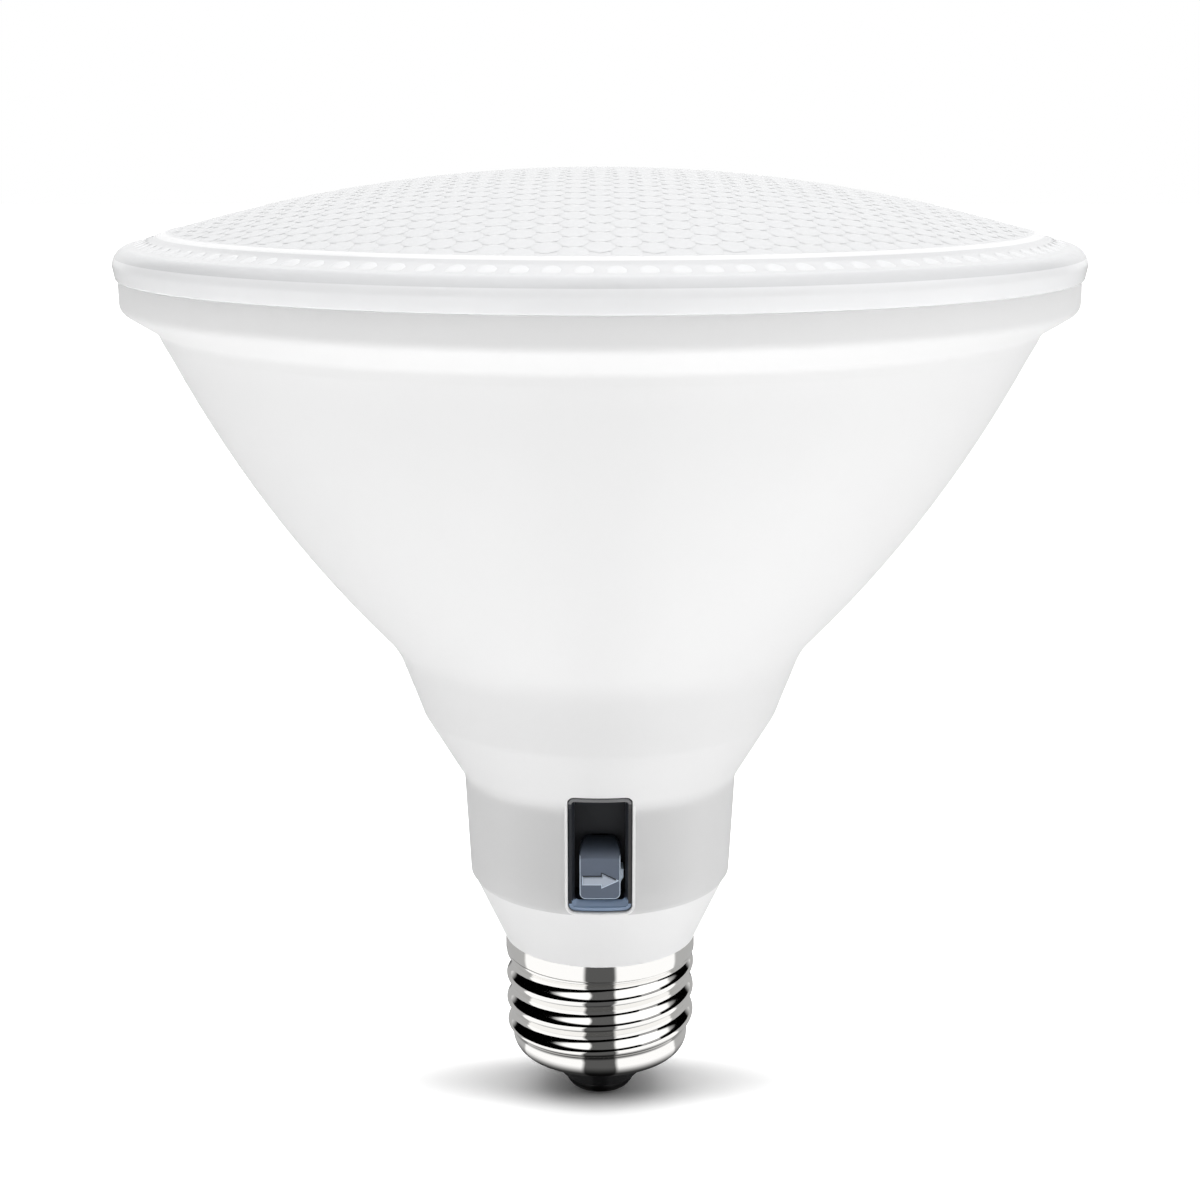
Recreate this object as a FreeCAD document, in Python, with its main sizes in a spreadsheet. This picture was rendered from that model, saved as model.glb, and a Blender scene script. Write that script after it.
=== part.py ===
import FreeCAD, Part
import math
import os
import re

import Sketcher

# A flood and spot lamp with a screw base, a domed lens and a slide switch in its neck.
# The tip contact touches z = 0, +Z runs up the lamp's axis to the lens, and the switch faces -Y.
# All lengths are millimetres. The thread's sheet has its columns of poles round it and its rows of
# poles a pitch, and its wave grows and dies away over the two runs, which are shares of a pitch.

SIZES = {
    # lens
    "lens_side": 1.568,
    "lens_overhang": 0.6,
    "lens_side_draft": 0.3,
    "dome_radius": 196.0,
    "lens_wall": 2.0,
    "lens_shoulder": 2.4,
    "skirt_wall": 2.2,
    "gasket_height": 1.0,
    "gasket_margin": 0.2,
    # housing rim
    "flange_radius": 60.4,
    "flange_side": 3.7,
    "flange_height": 7.6,
    "rim_wall": 2.4,
    "rim_bore_depth": 3.6,
    "ledge_width": 5.0,
    "bead_inset": 5.2,
    "bead_height": 1.2,
    "bead_round": 2.0,
    "rim_round": 1.4,
    "step_depth": 0.35,
    # housing cone, then waist and neck
    "cone_height": 40.9,
    "cone_arc_radius": 151.0,
    "waist_radius": 27.2,
    "waist_height": 9.5,
    "waist_line_drop": 3.5,
    "waist_round": 4.0,
    "waist_run": 3.5,
    "bend_round": 6.0,
    "shoulder_height": 9.0,
    "neck_radius": 18.4,
    "neck_round": 3.0,
    "neck_height": 14.6,
    "neck_draft": 0.7,
    "neck_chamfer": 0.5,
    "wall": 2.3,
    "lip_wall": 1.2,
    # collar and screw base
    "collar_height": 9.0,
    "collar_overhang": 0.05,
    "collar_wall": 1.6,
    "collar_spigot": 4.0,
    "tail_gap": 3.2,
    "collar_land": 1.8,
    "slip": 0.2,
    "overcut": 1.0,
    "base_height": 23.4,
    "shell_radius": 13.05,
    "band_height": 2.3,
    "crest_drop": 0.05,
    "thread_depth": 0.85,
    "thread_pitch": 3.629,
    "thread_root_place": 16.35,
    "thread_foot_place": 9.0,
    "thread_step": 0.05,
    "thread_columns": 48,
    "thread_rows": 10,
    "thread_run_in": 0.45,
    "thread_run_out": 0.3,
    "sheet": 0.35,
    "lip_round": 2.4,
    "lip_reach": 2.65,
    "shell_foot_place": 6.2,
    "nose_radius": 4.9,
    "nose_height": 2.0,
    "insulator_top_place": 10.2,
    "contact_radius": 4.6,
    "contact_flat": 2.5,
    "contact_edge": 0.7,
    "contact_dome": 3.0,
    "stem_radius": 1.5,
    "lead_radius": 0.5,
    "lead_slack": 2.5,
    # switch window, tub, knob
    "sill": 0.6,
    "window_width": 8.4,
    "window_height": 16.4,
    "window_corner": 1.0,
    "tub_gap": 0.1,
    "tub_setback": 0.8,
    "tub_depth": 5.0,
    "tub_side_wall": 0.8,
    "tub_end_wall": 1.1,
    "tub_floor": 0.8,
    "tub_chamfer": 1.0,
    "tub_rim": 0.1,
    "tub_corner": 0.6,
    "tub_flange_width": 11.0,
    "tub_flange_back": 1.4,
    "knob_width": 5.3,
    "knob_rest_gap": 0.3,
    "knob_face_height": 5.6,
    "knob_crown": 1.9,
    "knob_crown_radius": 5.0,
    "knob_proud": 0.3,
    "knob_floor_gap": 0.4,
    "knob_corner": 0.8,
    "knob_edge": 0.3,
    "knob_travel": 5.6,
    "knob_nub": 0.4,
    "nub_slope": 0.75,
    "nub_height": 1.9,
    "arrow_relief": 0.25,
    "arrow_rise": 2.55,
    "arrow_reach": 2.2,
    "arrow_neck": 0.3,
    "arrow_shaft": 1.0,
    "arrow_head": 1.8,
    "stem_width": 1.6,
    "stem_height": 1.4,
    "stem_rise": 0.3,
    "stem_reach": 3.2,
    "slot_gap": 0.3,
    "switch_width": 8.4,
    "switch_depth": 4.2,
    "switch_wall": 0.9,
    "wiper_width": 3.4,
    "wiper_depth": 1.1,
    # light engine
    "platform_rise": 19.5,
    "cup_drop": 12.0,
    "cup_sheet": 1.4,
    "cup_gap": 0.3,
    "cable_hole": 5.0,
    "pad_sheet": 0.4,
    "board_inset": 3.15,
    "led_board_sheet": 1.6,
    "board_margin": 0.8,
    "led_length": 3.5,
    "led_width": 2.8,
    "led_height": 0.7,
    "inner_ring": 13.0,
    "ring_inset": 4.0,
    "ring_step": 5.75,
    "inner_chips": 6,
    "middle_chips": 12,
    "outer_chips": 18,
    "screw_count": 3,
    "screw_shank": 1.0,
    "screw_length": 9.0,
    "screw_head": 2.3,
    "screw_head_height": 1.5,
    "screw_head_round": 0.6,
    "boss_radius": 2.9,
    "boss_height": 12.0,
    "pilot_depth": 11.0,
    "rib_sheet": 1.6,
    "rib_inset": 1.35,
    "rib_drop": 14.0,
    "reflector_sheet": 1.2,
    "reflector_flange": 1.8,
    "socket_width": 7.0,
    "socket_depth": 4.5,
    "socket_height": 3.0,
    # driver board and its pieces
    "board_sheet": 1.6,
    "board_width": 25.2,
    "board_height": 43.8,
    "tongue_inset": 4.1,
    "board_shoulder_gap": 0.8,
    "parts_gap": 2.0,
    "rail_width": 1.5,
    "rail_reach": 1.2,
    "rail_height": 9.0,
    "core_width": 16.0,
    "core_depth": 11.0,
    "core_height": 14.0,
    "core_leg": 3.0,
    "winding": 2.0,
    "bulk_can_radius": 5.0,
    "bulk_can_height": 14.0,
    "output_can_radius": 4.0,
    "output_can_height": 11.0,
    "can_groove": 0.4,
    "can_foot": 1.5,
    "film_width": 12.0,
    "film_depth": 5.5,
    "film_height": 8.0,
    "choke_radius": 4.5,
    "choke_height": 8.0,
    "choke_flange": 1.2,
    "choke_waist": 2.0,
    "bridge_width": 6.0,
    "chip_width": 5.0,
    "chip_height": 1.5,
    "chip_rise": 4.2,
    "chip_leg": 0.4,
    "legs_a_side": 4,
    "fuse_radius": 1.5,
    "fuse_length": 9.0,
}

# The rings of light-emitting packages, each with its count.
CHIP_RINGS = (
    ("inner_ring", "inner_chips"),
    ("middle_ring", "middle_chips"),
    ("outer_ring", "outer_chips"),
)
# A side is picked for a rounding this share of half its length away from the corner.
NEAR_CORNER = 0.1
# A wire's bend starts this share of the shorter run away from its corner.
BEND_SHARE = 0.45
# Lengths and volumes under this count as nothing.
HAIR = 1e-4

# Heights and radii that follow from the sizes above.
PLACES = {
    "neck_foot": "base_height + collar_height",
    "neck_foot_radius": "neck_radius - neck_draft",
    "neck_top": "neck_foot + neck_height",
    "bend_place": "neck_top + shoulder_height",
    "waist_place": "bend_place + waist_height",
    "cone_top": "waist_place + cone_height",
    "parting": "cone_top + flange_height",
    "lens_radius": "flange_radius + lens_overhang",
    "shoulder_centre": "lens_radius - lens_shoulder",
    "shoulder_place": "parting + lens_side",
    "dome_foot": "shoulder_place - sqrt((dome_radius - lens_shoulder)^2 - shoulder_centre^2)",
    "apex": "dome_foot + dome_radius",
    "shoulder_share": "dome_radius/(dome_radius - lens_shoulder)",
    "rim_bore_radius": "flange_radius - rim_wall",
    "ledge_inner_radius": "rim_bore_radius - ledge_width",
    "bead_radius": "flange_radius - bead_inset",
    "skirt_outer": "rim_bore_radius - 2*slip",
    "skirt_inner": "skirt_outer - skirt_wall",
    "inner_dome": "dome_radius - lens_wall",
    "skirt_root": "dome_foot + sqrt(inner_dome^2 - skirt_inner^2)",
    "ledge": "parting - rim_bore_depth",
    "cone_top_radius": "bead_radius - step_depth",
    "bend_radius": "waist_radius - waist_run",
    "cone_run": "cone_top_radius - waist_radius",
    "cone_fall": "cone_height - bead_height",
    "cone_chord": "sqrt(cone_run^2 + cone_fall^2)",
    "cone_offset": "sqrt(cone_arc_radius^2 - cone_chord^2/4)/cone_chord",
    "arc_radius_place": "(cone_top_radius + waist_radius)/2 - cone_fall*cone_offset",
    "arc_place": "waist_place + cone_fall/2 + cone_run*cone_offset",
    "lip_outer": "waist_radius - wall - slip/2",
    "waist_end": "waist_place + waist_round/2",
    "waist_end_radius": "arc_radius_place + sqrt(cone_arc_radius^2 - (waist_end - arc_place)^2)",
    "platform_place": "waist_place + platform_rise",
    "cup_top_place": "parting - cup_drop",
    "platform_wall": "arc_radius_place - wall + sqrt(cone_arc_radius^2 - (platform_place - arc_place)^2)",
    "cup_top_wall": "arc_radius_place - wall + sqrt(cone_arc_radius^2 - (cup_top_place - arc_place)^2)",
    "rib_foot": "platform_place - rib_drop",
    "rib_foot_wall": "arc_radius_place - wall + sqrt(cone_arc_radius^2 - (rib_foot - arc_place)^2)",
    "waist_line": "waist_place - waist_line_drop",
    "waist_line_radius": "waist_radius - waist_run*waist_line_drop/waist_height",
    "neck_bore_foot": "neck_foot_radius - wall",
    "neck_bore_top": "neck_radius - wall",
    "window_foot": "neck_foot + sill",
    "tub_foot": "window_foot + tub_gap",
    "tub_top": "window_foot + window_height - tub_gap",
    "tub_width": "window_width - 2*tub_gap",
    "tub_inner_foot": "tub_foot + tub_end_wall",
    "tub_inner_top": "tub_top - tub_end_wall",
    "tub_inner_width": "tub_width - 2*tub_side_wall",
    "tub_front": "neck_foot_radius - tub_setback",
    "tub_back": "tub_front - tub_depth",
    "knob_foot": "tub_inner_foot + knob_rest_gap",
    "knob_front": "tub_front - knob_proud",
    "knob_back": "tub_back + tub_floor + knob_floor_gap",
    "crease": "knob_foot + knob_face_height",
    "arrow_place": "knob_foot + arrow_rise",
    "stem_foot": "knob_foot + stem_rise",
    "stem_back": "knob_back - stem_reach",
    "switch_front": "tub_back - slip",
    "board_front": "switch_front - switch_depth",
    "board_back": "board_front - board_sheet",
    "board_middle": "board_front - board_sheet/2",
    "spigot_top": "neck_foot + collar_spigot",
    "board_shoulder": "spigot_top + board_shoulder_gap",
    "board_foot": "neck_foot + board_shoulder_gap",
    "board_top_place": "board_foot + board_height",
    "crest_radius": "shell_radius - crest_drop",
    "root_radius": "crest_radius - thread_depth",
    "lip_radius": "root_radius - lip_reach",
    "shell_bore": "root_radius - sheet",
    "band_foot": "base_height - band_height",
    "insulator_radius": "shell_bore - 2*slip",
    "led_board_radius": "platform_wall - cup_gap - cup_sheet - board_inset",
    "outer_ring": "led_board_radius - ring_inset",
    "screw_circle": "outer_ring - ring_step",
    "middle_ring": "screw_circle - ring_step",
    "rib_reach": "screw_circle - boss_radius - rib_inset",
    "led_board_foot": "platform_place + cup_sheet + pad_sheet",
    "led_board_top": "led_board_foot + led_board_sheet",
    "tail_foot": "insulator_top_place + tail_gap",
    "tail_radius": "shell_bore - slip/2",
    "tail_bore": "tail_radius - collar_wall",
    "board_tongue": "2*(tail_bore - tongue_inset)",
}

doc = FreeCAD.newDocument("Lamp")
sizes = doc.addObject("Spreadsheet::Sheet", "Sizes")
for row, (alias, value) in enumerate(SIZES.items(), start=1):
    sizes.set("A%d" % row, alias)
    sizes.set("B%d" % row, str(value))
    sizes.setAlias("B%d" % row, alias)
doc.recompute()


def to_cell(found):
    """The cell that a plain alias word stands for."""
    word = found.group(0)
    if word in SIZES:
        return "Sizes." + word
    if word in PLACES:
        return "Places." + word
    return word


def formula(words):
    """An expression written with alias words, as the document reads it."""
    return re.sub(r"[a-z_]\w*", to_cell, words)


places = doc.addObject("Spreadsheet::Sheet", "Places")
for row, (alias, words) in enumerate(PLACES.items(), start=1):
    places.set("A%d" % row, alias)
    places.set("B%d" % row, "=" + formula(words))
    places.setAlias("B%d" % row, alias)
doc.recompute()

parts = []


def number(words):
    """The value in millimetres of an expression."""
    return float(places.evalExpression(formula(words)))


def whole(words):
    """A count that the sheet holds."""
    return int(round(number(words)))


def bind(thing, **expressions):
    """Ties properties of an object to the sheets."""
    for name, words in expressions.items():
        thing.setExpression(name.replace("__", "."), formula(words))


def keep(thing, label):
    """Names a finished sub-part and lists it for writing."""
    thing.Label = label
    parts.append(thing)
    return thing


def new_body(name):
    return doc.addObject("PartDesign::Body", "Body_" + name)


def origin_feature(body, role):
    for feature in body.Origin.OriginFeatures:
        if feature.Role == role:
            return feature
    raise ValueError("no origin feature " + role)


def new_sketch(body, plane, offset=None):
    """A sketch on one of the body's own planes, moved out along the plane's normal."""
    sketch = body.newObject("Sketcher::SketchObject", "Sketch")
    sketch.AttachmentSupport = [(origin_feature(body, plane), "")]
    sketch.MapMode = "FlatFace"
    if offset:
        sketch.setExpression("AttachmentOffset.Base.z", formula(offset))
    doc.recompute()
    return sketch


def pin_point(sketch, geometry, end, across, up):
    """Fixes one end of a line or arc at a place given by two expressions."""
    for kind, words, axis in (("DistanceX", across, -2), ("DistanceY", up, -1)):
        value = number(words)
        if abs(value) < HAIR:
            sketch.addConstraint(Sketcher.Constraint("PointOnObject", geometry, end, axis))
            continue
        index = sketch.addConstraint(Sketcher.Constraint(kind, -1, 1, geometry, end, value))
        sketch.setExpression("Constraints[%d]" % index, formula(words))


def arc_between(start, finish, radius, centre_left):
    """An arc from start to finish, with its centre to the left or right of the way there."""
    chord = finish - start
    reach = math.sqrt(max(radius**2 - (chord.Length / 2) ** 2, 0.0))
    side = FreeCAD.Vector(-chord.y, chord.x, 0).normalize() * (1 if centre_left else -1)
    centre = (start + finish) * 0.5 + side * reach
    begin = math.atan2(start.y - centre.y, start.x - centre.x)
    end = math.atan2(finish.y - centre.y, finish.x - centre.x)
    if not centre_left:
        begin, end = end, begin
    circle = Part.Circle(centre, FreeCAD.Vector(0, 0, 1), radius)
    return Part.ArcOfCircle(circle, begin, end)


def outline(sketch, corners, rounds=()):
    """Draws a closed outline. A corner is (across, up), or (across, up, radius, side) where an arc
    of that radius leads to the next corner with its centre on that side. Each of the rounds is
    (across, up, radius) and rounds the corner of two straight sides at that place."""
    points = [FreeCAD.Vector(number(c[0]), number(c[1]), 0) for c in corners]
    first = sketch.GeometryCount
    ends = []
    for index, corner in enumerate(corners):
        start = points[index]
        finish = points[(index + 1) % len(corners)]
        if len(corner) == 2:
            sketch.addGeometry(Part.LineSegment(start, finish), False)
            ends.append((1, 2))
        else:
            centre_left = corner[3] == "left"
            arc = arc_between(start, finish, number(corner[2]), centre_left)
            sketch.addGeometry(arc, False)
            ends.append((1, 2) if centre_left else (2, 1))
    for index, corner in enumerate(corners):
        after = (index + 1) % len(corners)
        join = Sketcher.Constraint(
            "Coincident", first + index, ends[index][1], first + after, ends[after][0]
        )
        sketch.addConstraint(join)
        pin_point(sketch, first + index, ends[index][0], corner[0], corner[1])
        if len(corner) == 4:
            size = Sketcher.Constraint("Radius", first + index, number(corner[2]))
            made = sketch.addConstraint(size)
            sketch.setExpression("Constraints[%d]" % made, formula(corner[2]))
    doc.recompute()
    named = [corner[:2] for corner in corners]
    for across, up, radius in rounds:
        index = named.index((across, up))
        before = first + (index - 1) % len(corners)
        round_corner(sketch, before, first + index, points[index], radius)


def round_corner(sketch, before, after, corner, radius):
    """Rounds the corner where two straight sides of a sketch meet."""
    near = []
    for side in (sketch.Geometry[before], sketch.Geometry[after]):
        middle = (side.StartPoint + side.EndPoint) * 0.5
        near.append(corner + (middle - corner) * NEAR_CORNER)
    sketch.fillet(before, after, near[0], near[1], number(radius), 1, True, False)
    arc = sketch.GeometryCount - 2
    made = sketch.addConstraint(Sketcher.Constraint("Radius", arc, number(radius)))
    sketch.setExpression("Constraints[%d]" % made, formula(radius))
    doc.recompute()


def circle(sketch, across, up, radius):
    """Draws a circle at a place given by expressions."""
    centre = FreeCAD.Vector(number(across), number(up), 0)
    index = sketch.addGeometry(Part.Circle(centre, FreeCAD.Vector(0, 0, 1), number(radius)), False)
    pin_point(sketch, index, 3, across, up)
    made = sketch.addConstraint(Sketcher.Constraint("Radius", index, number(radius)))
    sketch.setExpression("Constraints[%d]" % made, formula(radius))
    doc.recompute()


def rectangle(sketch, left, right, low, high):
    outline(sketch, [(left, low), (right, low), (right, high), (left, high)])


def rounded_rectangle(sketch, half_width, low, high, radius):
    """A rectangle centred across the sketch's upright axis, with four round corners."""
    inner = "%s - %s" % (half_width, radius)
    outline(
        sketch,
        [
            ("-(%s)" % inner, low),
            (inner, low, radius, "left"),
            (half_width, "%s + %s" % (low, radius)),
            (half_width, "%s - %s" % (high, radius), radius, "left"),
            (inner, high),
            ("-(%s)" % inner, high, radius, "left"),
            ("-(%s)" % half_width, "%s - %s" % (high, radius)),
            ("-(%s)" % half_width, "%s + %s" % (low, radius), radius, "left"),
        ],
    )


def revolve(body, corners, rounds=()):
    """A turned solid: an outline in the XZ plane, turned about the lamp's axis."""
    sketch = new_sketch(body, "XZ_Plane")
    outline(sketch, corners, rounds)
    turned = body.newObject("PartDesign::Revolution", "Revolution")
    turned.Profile = (sketch, [""])
    turned.ReferenceAxis = (sketch, ["V_Axis"])
    turned.Angle = 360
    doc.recompute()
    return turned


def pad(body, sketch, length, towards_back=False, both_ways=False):
    """Thickens a sketch along its plane's normal, or the other way."""
    made = body.newObject("PartDesign::Pad", "Pad")
    made.Profile = (sketch, [""])
    made.setExpression("Length", formula(length))
    made.Reversed = towards_back
    made.Midplane = both_ways
    doc.recompute()
    return made


def pocket(body, sketch, length, along_normal=False):
    """Cuts a sketch out of the body, and makes sure that something was cut."""
    before = body.Shape.Volume
    made = body.newObject("PartDesign::Pocket", "Pocket")
    made.Profile = (sketch, [""])
    made.setExpression("Length", formula(length))
    made.Reversed = along_normal
    doc.recompute()
    if made.Shape.Volume > before - HAIR:
        raise RuntimeError("a pocket in " + body.Name + " cut nothing")
    return made


def turn_copies(body, features, count):
    """Repeats features evenly about the lamp's axis."""
    pattern = body.newObject("PartDesign::PolarPattern", "PolarPattern")
    pattern.Originals = features
    pattern.Axis = (origin_feature(body, "Z_Axis"), [""])
    pattern.Angle = 360
    pattern.Occurrences = whole(count)
    body.Tip = pattern
    doc.recompute()
    return pattern


def round_edges(body, names, radius):
    """Rounds the named edges of the body's latest feature."""
    base = body.Tip
    made = body.newObject("PartDesign::Fillet", "Fillet")
    made.Base = (base, names)
    made.setExpression("Radius", formula(radius))
    doc.recompute()
    return made


def block(name, low, size):
    """A box from its low corner and its three sizes, all expressions."""
    made = doc.addObject("Part::Box", name)
    bind(made, Placement__Base__x=low[0], Placement__Base__y=low[1], Placement__Base__z=low[2])
    bind(made, Length=size[0], Width=size[1], Height=size[2])
    return made


def combine(kind, name, pieces):
    """Fuses pieces, or cuts the later ones from the first."""
    if kind == "fuse":
        made = doc.addObject("Part::MultiFuse", name)
        made.Shapes = pieces
        return made
    tools = pieces[1]
    if len(pieces) > 2:
        tools = doc.addObject("Part::MultiFuse", name + "_tools")
        tools.Shapes = pieces[1:]
    made = doc.addObject("Part::Cut", name)
    made.Base = pieces[0]
    made.Tool = tools
    return made


def lens():
    """The domed lens with its skirt, which sits in the housing's rim."""
    body = new_body("lens")
    revolve(
        body,
        [
            ("0", "apex - lens_wall"),
            ("0", "apex", "dome_radius", "right"),
            (
                "shoulder_centre*shoulder_share",
                "dome_foot + (shoulder_place - dome_foot)*shoulder_share",
                "lens_shoulder",
                "right",
            ),
            ("lens_radius", "shoulder_place"),
            ("lens_radius - lens_side_draft", "parting"),
            ("skirt_outer", "parting"),
            ("skirt_outer", "ledge + gasket_height"),
            ("skirt_inner", "ledge + gasket_height"),
            ("skirt_inner", "skirt_root", "inner_dome", "left"),
        ],
    )
    keep(body, "lens")


def lens_gasket():
    """A flat rubber ring between the lens skirt and the housing's ledge."""
    body = new_body("lens_gasket")
    revolve(
        body,
        [
            ("skirt_inner + gasket_margin", "ledge"),
            ("skirt_outer - gasket_margin", "ledge"),
            ("skirt_outer - gasket_margin", "ledge + gasket_height"),
            ("skirt_inner + gasket_margin", "ledge + gasket_height"),
        ],
    )
    keep(body, "lens_gasket")


def neck():
    """The lower moulding: the neck with its switch window and board rails, and a lip that stands
    inside the housing."""
    body = new_body("neck")
    revolve(
        body,
        [
            ("neck_bore_foot", "neck_foot"),
            ("neck_foot_radius - neck_chamfer", "neck_foot"),
            ("neck_foot_radius", "neck_foot + neck_chamfer*1.5"),
            ("neck_radius", "neck_top"),
            ("bend_radius", "bend_place"),
            ("waist_line_radius - step_depth/2", "waist_line - step_depth"),
            ("waist_line_radius - 2*step_depth", "waist_line"),
            ("lip_outer", "waist_line"),
            ("lip_outer", "waist_place - slip"),
            ("lip_outer - lip_wall", "waist_place - slip"),
            ("lip_outer - lip_wall", "waist_line"),
            ("bend_radius - wall", "bend_place"),
            ("neck_bore_top", "neck_top"),
        ],
        [
            ("bend_radius", "bend_place", "bend_round"),
            ("neck_radius", "neck_top", "neck_round"),
        ],
    )
    rail_end = "sqrt((neck_bore_top + 2*slip)^2 - (%s)^2)"
    front_rail = ("-board_front - slip - rail_width", "-board_front - slip")
    back_rail = ("-board_back + slip", "-board_back + slip + rail_width")
    rails = new_sketch(body, "XY_Plane", "board_shoulder")
    for low, high in (front_rail, back_rail):
        end = rail_end % high
        inner = "board_width/2 - rail_reach"
        rectangle(rails, inner, end, low, high)
        rectangle(rails, "-(%s)" % end, "-(%s)" % inner, low, high)
    pad(body, rails, "rail_height")
    window = new_sketch(body, "XZ_Plane")
    rounded_rectangle(
        window, "window_width/2", "window_foot", "window_foot + window_height", "window_corner"
    )
    pocket(body, window, "waist_radius", along_normal=True)
    keep(body, "neck")


def housing():
    """The upper moulding: rim flange, bead and curved cone, with ribs and screw bosses for the
    light engine."""
    body = new_body("housing")
    revolve(
        body,
        [
            ("waist_radius - wall", "waist_line"),
            ("waist_line_radius + step_depth/4", "waist_line"),
            ("waist_radius", "waist_place"),
            ("waist_end_radius", "waist_end", "cone_arc_radius", "left"),
            ("cone_top_radius", "cone_top - bead_height"),
            ("bead_radius", "cone_top - bead_height + step_depth"),
            ("bead_radius + step_depth", "cone_top"),
            ("bead_radius + step_depth*2.5", "cone_top + bead_height"),
            ("flange_radius", "parting - flange_side"),
            ("flange_radius", "parting"),
            ("rim_bore_radius", "parting"),
            ("rim_bore_radius", "ledge"),
            ("ledge_inner_radius", "ledge"),
            ("cone_top_radius - wall", "cone_top - bead_height", "cone_arc_radius", "right"),
            ("waist_radius - wall", "waist_place"),
        ],
        [
            ("waist_radius", "waist_place", "waist_round"),
            ("bead_radius + step_depth*2.5", "cone_top + bead_height", "bead_round"),
            ("flange_radius", "parting - flange_side", "rim_round"),
        ],
    )
    rib = new_sketch(body, "XZ_Plane")
    outline(
        rib,
        [
            ("rib_reach", "platform_place"),
            ("rib_reach", "platform_place - boss_height/2"),
            ("rib_foot_wall + wall/3", "rib_foot"),
            ("platform_wall + wall/3", "platform_place"),
        ],
    )
    rib_pad = pad(body, rib, "rib_sheet", both_ways=True)
    turn_copies(body, [rib_pad], "2*screw_count")

    boss = new_sketch(body, "XY_Plane", "platform_place - boss_height")
    circle(boss, "screw_circle", "0", "boss_radius")
    boss_pad = pad(body, boss, "boss_height")
    turn_copies(body, [boss_pad], "screw_count")
    pilot = new_sketch(body, "XY_Plane", "platform_place")
    circle(pilot, "screw_circle", "0", "screw_shank + slip/2")
    pilot_cut = pocket(body, pilot, "pilot_depth")
    turn_copies(body, [pilot_cut], "screw_count")
    keep(body, "housing")


def heat_sink():
    """A pressed aluminium cup that stands on the ribs and lines the housing's cone."""
    body = new_body("heat_sink")
    revolve(
        body,
        [
            ("cable_hole", "platform_place"),
            ("platform_wall - cup_gap", "platform_place"),
            ("cup_top_wall - cup_gap", "cup_top_place"),
            ("cup_top_wall - cup_gap - cup_sheet", "cup_top_place"),
            ("platform_wall - cup_gap - cup_sheet", "platform_place + cup_sheet"),
            ("cable_hole", "platform_place + cup_sheet"),
        ],
    )
    drill_for_screws(body, "platform_place + cup_sheet", "cup_sheet")
    keep(body, "heat_sink")


def drill_for_screws(body, top, depth):
    """Three clearance holes for the light engine's screws."""
    hole = new_sketch(body, "XY_Plane", top)
    circle(hole, "screw_circle", "0", "screw_shank + slip")
    cut = pocket(body, hole, depth)
    turn_copies(body, [cut], "screw_count")


def disc(label, inner, outer, foot, top):
    """A flat ring with the three screw holes."""
    body = new_body(label)
    revolve(body, [(inner, foot), (outer, foot), (outer, top), (inner, top)])
    drill_for_screws(body, top, "%s - (%s)" % (top, foot))
    keep(body, label)


def led_chips():
    """Light-emitting packages in three rings on the board, each turned to face the centre."""
    chips = []
    top = number("led_board_top")
    for ring, chips_in_ring in CHIP_RINGS:
        count = whole(chips_in_ring)
        for step in range(count):
            length = number("led_length")
            width = number("led_width")
            chip = Part.makeBox(length, width, number("led_height"))
            chip.translate(FreeCAD.Vector(number(ring) - length / 2, -width / 2, top))
            turn = 360.0 * (step + 0.5) / count
            chip.rotate(FreeCAD.Vector(0, 0, 0), FreeCAD.Vector(0, 0, 1), turn)
            chips.append(chip)
    group = doc.addObject("Part::Feature", "led_chips")
    group.Shape = Part.makeCompound(chips)
    keep(group, "led_chips")


def led_board_screws():
    """Three pan-head screws from the board into the housing's bosses."""
    screws = []
    up = FreeCAD.Vector(0, 0, 1)
    top = number("led_board_top")
    count = whole("screw_count")
    for step in range(count):
        foot = FreeCAD.Vector(number("screw_circle"), 0, top - number("screw_length"))
        shank = Part.makeCylinder(number("screw_shank"), number("screw_length"), foot, up)
        seat = FreeCAD.Vector(foot.x, 0, top)
        head = Part.makeCylinder(number("screw_head"), number("screw_head_height"), seat, up)
        rim = [e for e in head.Edges if e.BoundBox.ZMin > top + number("screw_head_height") - HAIR]
        head = head.makeFillet(number("screw_head_round"), rim)
        screw = shank.fuse(head).removeSplitter()
        screw.rotate(FreeCAD.Vector(0, 0, 0), up, 360.0 / count * step)
        screws.append(screw)
    group = doc.addObject("Part::Feature", "led_board_screws")
    group.Shape = Part.makeCompound(screws)
    keep(group, "led_board_screws")


def led_socket():
    """The plug-in socket on the light board where the two leads end."""
    shell = block(
        "led_socket_shell",
        ("-socket_width/2", "cable_hole + slip", "led_board_top"),
        ("socket_width", "socket_depth", "socket_height"),
    )
    mouths = []
    for side in ("-", ""):
        mouth = block(
            "led_socket_mouth",
            (
                "%ssocket_width/4 - lead_radius - slip" % side,
                "cable_hole",
                "led_board_top + socket_height/2 - lead_radius - slip",
            ),
            ("2*(lead_radius + slip)", "socket_depth*0.7", "2*(lead_radius + slip)"),
        )
        mouths.append(mouth)
    keep(combine("cut", "led_socket", [shell] + mouths), "led_socket")


def reflector():
    """A white cone from the light board's edge up to the ledge under the lens."""
    body = new_body("reflector")
    revolve(
        body,
        [
            ("led_board_radius - reflector_sheet - board_margin", "led_board_top"),
            ("led_board_radius - board_margin", "led_board_top"),
            ("ledge_inner_radius - slip", "ledge - reflector_sheet"),
            ("ledge_inner_radius - slip", "ledge"),
            ("ledge_inner_radius + reflector_flange", "ledge"),
            ("ledge_inner_radius + reflector_flange", "ledge + reflector_sheet/2"),
            ("ledge_inner_radius - slip - reflector_sheet", "ledge + reflector_sheet/2"),
        ],
    )
    keep(body, "reflector")


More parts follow.
